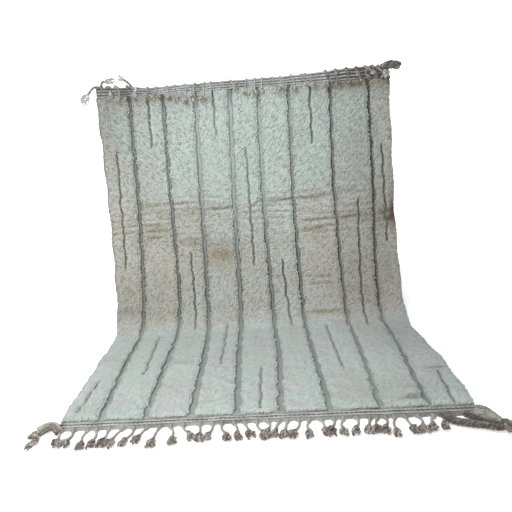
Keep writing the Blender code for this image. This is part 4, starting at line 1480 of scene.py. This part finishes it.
def lower_tassel(yarn, number, root, head, reach):
    """A tassel on the floor: a twisted neck out of the band, a knot and a flared head."""
    edge = float(band_edges(root, LOWER)[1])
    knot_s = edge + reach - 0.033
    bow = 0.010 * math.sin(2.3 * number)
    lean = (head - root) / reach
    stations = (
        (root, edge - 0.018, 0.0050),
        (root, edge + 0.003, 0.0075),
        (root + 0.4 * (head - root) + bow, (edge + knot_s) / 2, 0.0066),
        (head - 0.016 * lean, knot_s, 0.0100),
    )
    path = route(stations, 22)
    tone = random.uniform(0.3, 1.0)
    plies = plied(path, UP, radius=0.0034, plies=2, pitch=0.023, phase=number)
    yarn.necks.add(plies, 0.0039, UP, (tone, tone * 0.8))
    for turn in (-1, 1):  # warps gathered from both sides into the neck
        stations = (
            (root, edge + 0.022, 0.0050),
            (root + 0.006 * turn, edge + 0.009, 0.0050),
            (root + 0.019 * turn, edge - 0.006, 0.0050),
        )
        yarn.necks.add(route(stations, 8)[None], 0.0036, UP, tone)
    way = unit(np.array([0.8 * lean, -1.0, 0.0]))
    knot_wrap(yarn.heads, path[-1], way, UP, radius=0.0072, thick=0.0046)
    width = 0.034 * (1.0 + 0.2 * math.sin(1.7 * number))
    tassel_head(yarn.heads, path[-1], way, UP, 0.066, width, strands=9, thick=0.0050)


def upper_tassel(yarn, number, root, head, head_s):
    """A tassel turned over the top edge: down over the band, a knot, and its loose end."""
    edge = float(band_edges(root, UPPER)[1])
    stations = (
        (root, edge + 0.016, 0.0035),
        (root, edge + 0.004, 0.0040),
        (root, edge - 0.0005, 0.0090),
        (root + 0.1 * (head - root), edge + 0.007, 0.0135),
        (root + 0.5 * (head - root) + 0.005 * math.sin(2.0 * number), -0.026, 0.0150),
        (head, max(head_s - 0.018, -0.016), 0.0300),
    )
    path = route(stations, 26)
    lift = lift_off(root, -0.02)
    down = unit(place(head, head_s + 0.03, 0.031) - place(head, head_s, 0.031))
    pale, dim = number in PALE_TASSELS, root > DIM_FROM
    tone = random.uniform(0.15, 0.55) if dim else random.uniform(0.45, 1.0)
    neck = yarn.pale if pale else yarn.necks
    plies = plied(path, ACROSS, radius=0.0032, plies=2, pitch=0.024, phase=number)
    neck.add(plies, 0.0038, ACROSS, (tone, tone * 0.8))
    tail = yarn.pale if pale else yarn.dark if dim else yarn.heads
    knot_wrap(tail, path[-1], down, lift, radius=0.0058, thick=0.0036)
    size = random.uniform(0.75, 1.15) * (0.75 if dim else 1.0)
    down = unit(down + np.array([random.uniform(-0.5, 0.5), 0, 0]))
    length, width = 0.038 * size, 0.036 * size
    tassel_head(tail, path[-1], down, lift, length, width, strands=9, thick=0.0038, curl=0.0040)


def dark_wads(yarn):
    """Wads of dark wool caught in the upper band: short flat bundles that hang down over it; they
    also stand in for the shade beside the necks, so are partly painted shadow.
    """
    for across, along, to_across, to_along, width in DARK_WADS:
        knot, tip = place(across, along, 0.0150), place(to_across, to_along, 0.0170)
        length = float(np.linalg.norm(tip - knot))
        way, lift = (tip - knot) / length, lift_off(across, along)
        tassel_head(yarn.dark, knot, way, lift, length, width, strands=9, thick=0.0042, curl=0.0028)


def lower_corners(yarn):
    """The gathered cords of the two lower corners, each ending in heavy loose ends."""
    tints = (0.60, 0.80, 0.40, 0.30, 0.05, 0.10, 0.05, 0.40, 0.20)
    cord(yarn.heads, LEFT_PLAIT, tints, UP, plies=9, radius=0.0160, ply=0.0062, pitch=0.600)
    for start, way, length, width, strands in LEFT_ENDS:
        way = unit(np.array(way))
        tassel_head(yarn.heads, place(*start), way, UP, length, width, strands, thick=0.0056)
    knot_x, knot_s = RIGHT_KNOT
    for number, (x, s, past_x, past_s, bow, tone) in enumerate(RIGHT_BUNCH):
        away = number - 4
        stations = (
            (x, s, 0.010),
            (x + 0.45 * (past_x - x) - bow, s + 0.45 * (past_s - s) + bow, 0.015),
            (past_x, past_s, 0.018 + 0.004 * (number % 2)),
            (knot_x - 0.016 + 0.004 * away, knot_s - 0.004 - 0.007 * away, 0.020),
            (knot_x, knot_s - 0.003 * away, 0.020),
        )
        tones = tone, tone * 0.7, tone * 1.2
        cord(yarn.dark, stations, tones, UP, plies=3, radius=0.0062, ply=0.0062, pitch=0.060)
    end = place(knot_x, knot_s, 0.022)
    way = unit(np.array([0.50, -0.86, -0.10]))
    knot_wrap(yarn.dark, end, way, UP, radius=0.0180, thick=0.0085)
    tassel_head(yarn.heads, end, way, UP, length=0.062, width=0.062, strands=14, thick=0.0060)


def upper_corners(yarn):
    """The loose strands of the upper corners: pale tufts at the left, a thick rope end and rusty
    knots at the right."""
    lift = lift_off(0.0, -0.02)
    for stations, length, width, strands in (
        (UPPER_LEFT_STRAND, 0.078, 0.050, 14),
        (UPPER_LEFT_CURL, 0.068, 0.034, 11),
        (UPPER_LEFT_LOOP, 0.042, 0.036, 10),
    ):
        path = route(stations, 24)
        plies = plied(path, lift, radius=0.0040, plies=2, pitch=0.030)
        yarn.dark.add(plies, 0.0052, lift, (0.45, 0.25))
        way = unit(path[-1] - path[-3])
        knot_wrap(yarn.pale, path[-1], way, lift, radius=0.0064, thick=0.0040)
        tassel_head(yarn.pale, path[-1], way, lift, length, width, strands, thick=0.0032, curl=0.0030)
    tones = 0.00, 0.36, 0.10, 0.22
    path = cord(yarn.dark, UPPER_RIGHT_ROPE, tones, lift, plies=4, radius=0.0140, ply=0.0150, pitch=0.130)
    way = unit(path[-1] - path[-3])
    inside = path[-1] - way * 0.018
    tassel_head(yarn.dark, inside, way, lift, 0.024, 0.044, strands=12, thick=0.0080, curl=0.0020)
    frayed = place(0.988, -0.042, 0.026)
    way = unit(place(0.930, 0.006, 0.030) - frayed)
    tassel_head(yarn.pale, frayed, way, lift, 0.075, 0.024, strands=8, thick=0.0040, curl=0.0028)
    for start, end in RUSTY_STRANDS:
        middle = (start[0] + end[0]) / 2, (start[1] + end[1]) / 2
        path = route(((*start, 0.016), (*middle, 0.024), (*end, 0.032)), 18)
        plies = plied(path, lift, radius=0.0030, plies=2, pitch=0.019)
        yarn.necks.add(plies, 0.0034, lift, (0.5, 0.8))
        way = unit(path[-1] - path[-3])
        knot_wrap(yarn.heads, path[-1], way, lift, radius=0.0058, thick=0.0038)
        tassel_head(yarn.heads, path[-1], way, lift, 0.030, 0.026, strands=7, thick=0.0036)


def build_fringe(band):
    """A band's fringe: a piece of necks, one of knots and loose ends, one of dark cords, and the
    upper band's pale tufts."""
    yarn = SimpleNamespace(necks=Skein(6), heads=Skein(5), dark=Skein(6), pale=Skein(5))
    add_tassel = upper_tassel if band is UPPER else lower_tassel
    for number, row in enumerate(band.fringe):
        add_tassel(yarn, number, *row)
    if band is LOWER:
        lower_corners(yarn)
        return [
            yarn.necks.make("lower_fringe_necks", LOWER_NECK, band.node),
            yarn.heads.make("lower_fringe_heads", FRINGE_YARN, band.node),
            yarn.dark.make("lower_corner_cord", DARK_YARN, band.node),
        ]
    dark_wads(yarn)
    upper_corners(yarn)
    return [
        yarn.necks.make("upper_fringe_necks", UPPER_NECK, band.node),
        yarn.heads.make("upper_fringe_heads", UPPER_HEADS, band.node),
        yarn.dark.make("upper_corner_rope", DARK_YARN, band.node),
        yarn.pale.make("upper_fringe_pale", LOOSE_YARN, band.node),
    ]


# ---------------------------------------------------------------- stage, light and camera


def build_stage():
    """A white floor that curves up into a backdrop far behind, glowing more with the distance."""
    look = Look("stage_white", roughness=1.0, sheen=0.0)
    look.shader.inputs["Base Color"].default_value = (0.9, 0.9, 0.9, 1.0)
    spot = look.add("TexCoord", out="Object")
    far = look.add("VectorMath", {"operation": "DISTANCE"}, {0: spot, 1: (0.0, -1.2, FLOOR)}, out="Value")
    glow = look.ramp(far, 1.4, 4.0) * 0.65 + 0.30
    look.link(look.grey(glow), look.shader.inputs["Emission Color"])
    look.shader.inputs["Emission Strength"].default_value = 1.0
    bend = np.linspace(0, math.pi / 2, 25)
    y = np.concatenate(([-14.0], 5.0 + 3.0 * np.sin(bend), [8.0]))
    z = np.concatenate(([0.0], 3.0 - 3.0 * np.cos(bend), [14.0])) + FLOOR - 0.0005
    x = np.array([[-16.0], [16.0]])
    points = np.stack(np.broadcast_arrays(x, y, z), axis=-1).reshape(-1, 3)
    index = np.arange(len(points)).reshape(2, len(y))
    put_mesh("studio_floor", points, [quads(index)], [look.material])


def area_light(name, place_at, aim, size, power, colour):
    """A soft square light that faces a point."""
    lamp = bpy.data.lights.new(name, "AREA")
    lamp.shape = "RECTANGLE"
    lamp.size, lamp.size_y = size
    lamp.energy = power
    lamp.color = colour
    holder = bpy.data.objects.new(name, lamp)
    holder.location = place_at
    holder.rotation_euler = (Vector(aim) - Vector(place_at)).to_track_quat("-Z", "Y").to_euler()
    bpy.context.scene.collection.objects.link(holder)


def build_light():
    """A bright even surround, a cool light from above and a weak warm one from the front."""
    world = bpy.data.worlds.new("studio")
    bpy.context.scene.world = world
    world.use_nodes = True
    surround = world.node_tree.nodes["Background"]
    surround.inputs["Color"].default_value = (1.0, 1.0, 1.0, 1.0)
    surround.inputs["Strength"].default_value = 0.26
    area_light("window_above", (-0.8, -1.9, 2.8), (0.0, -0.6, -1.0), (1.6, 1.2), 110.0, (0.94, 0.985, 1.0))
    area_light("front_fill", (-1.2, -4.2, -0.1), (0.0, 0.0, -0.9), (1.6, 1.4), 137.0, (1.0, 0.975, 0.945))


def build_camera():
    """The photograph's camera, from its place, its three turns and its focal length."""
    yaw, pitch, roll = CAMERA_YAW, CAMERA_PITCH, CAMERA_ROLL
    ahead = Vector((math.sin(yaw) * math.cos(pitch), math.cos(yaw) * math.cos(pitch), math.sin(pitch)))
    level = Vector((math.cos(yaw), -math.sin(yaw), 0.0))
    above = level.cross(ahead)
    right = level * math.cos(roll) + above * math.sin(roll)
    up = above * math.cos(roll) - level * math.sin(roll)
    lens = bpy.data.cameras.new("camera")
    lens.sensor_fit = "HORIZONTAL"
    lens.sensor_width = SENSOR
    lens.lens = FOCAL_PIXELS / FRAME_PIXELS * SENSOR
    holder = bpy.data.objects.new("camera", lens)
    turned = Matrix((right, up, -ahead)).transposed().to_4x4()
    holder.matrix_world = Matrix.Translation(CAMERA_PLACE) @ turned
    bpy.context.scene.collection.objects.link(holder)
    bpy.context.scene.camera = holder


def build():
    """Every piece, the stage, the light and the camera."""
    ground = build_ground()
    panels = [build_panel(panel) for panel in range(len(LINES) + 1)]
    tufts = build_tufts()
    upper = build_band("upper_band_weave", UPPER)
    lower = build_band("lower_band_weave", LOWER)
    upper_pieces = [build_twining("upper_band_twining", UPPER)]
    lower_pieces = [build_twining("lower_band_twining", LOWER), *build_fringe(LOWER)]
    upper_pieces += build_fringe(UPPER)
    build_stage()
    build_light()
    build_camera()
    bpy.context.scene.view_settings.view_transform = "Standard"


build()
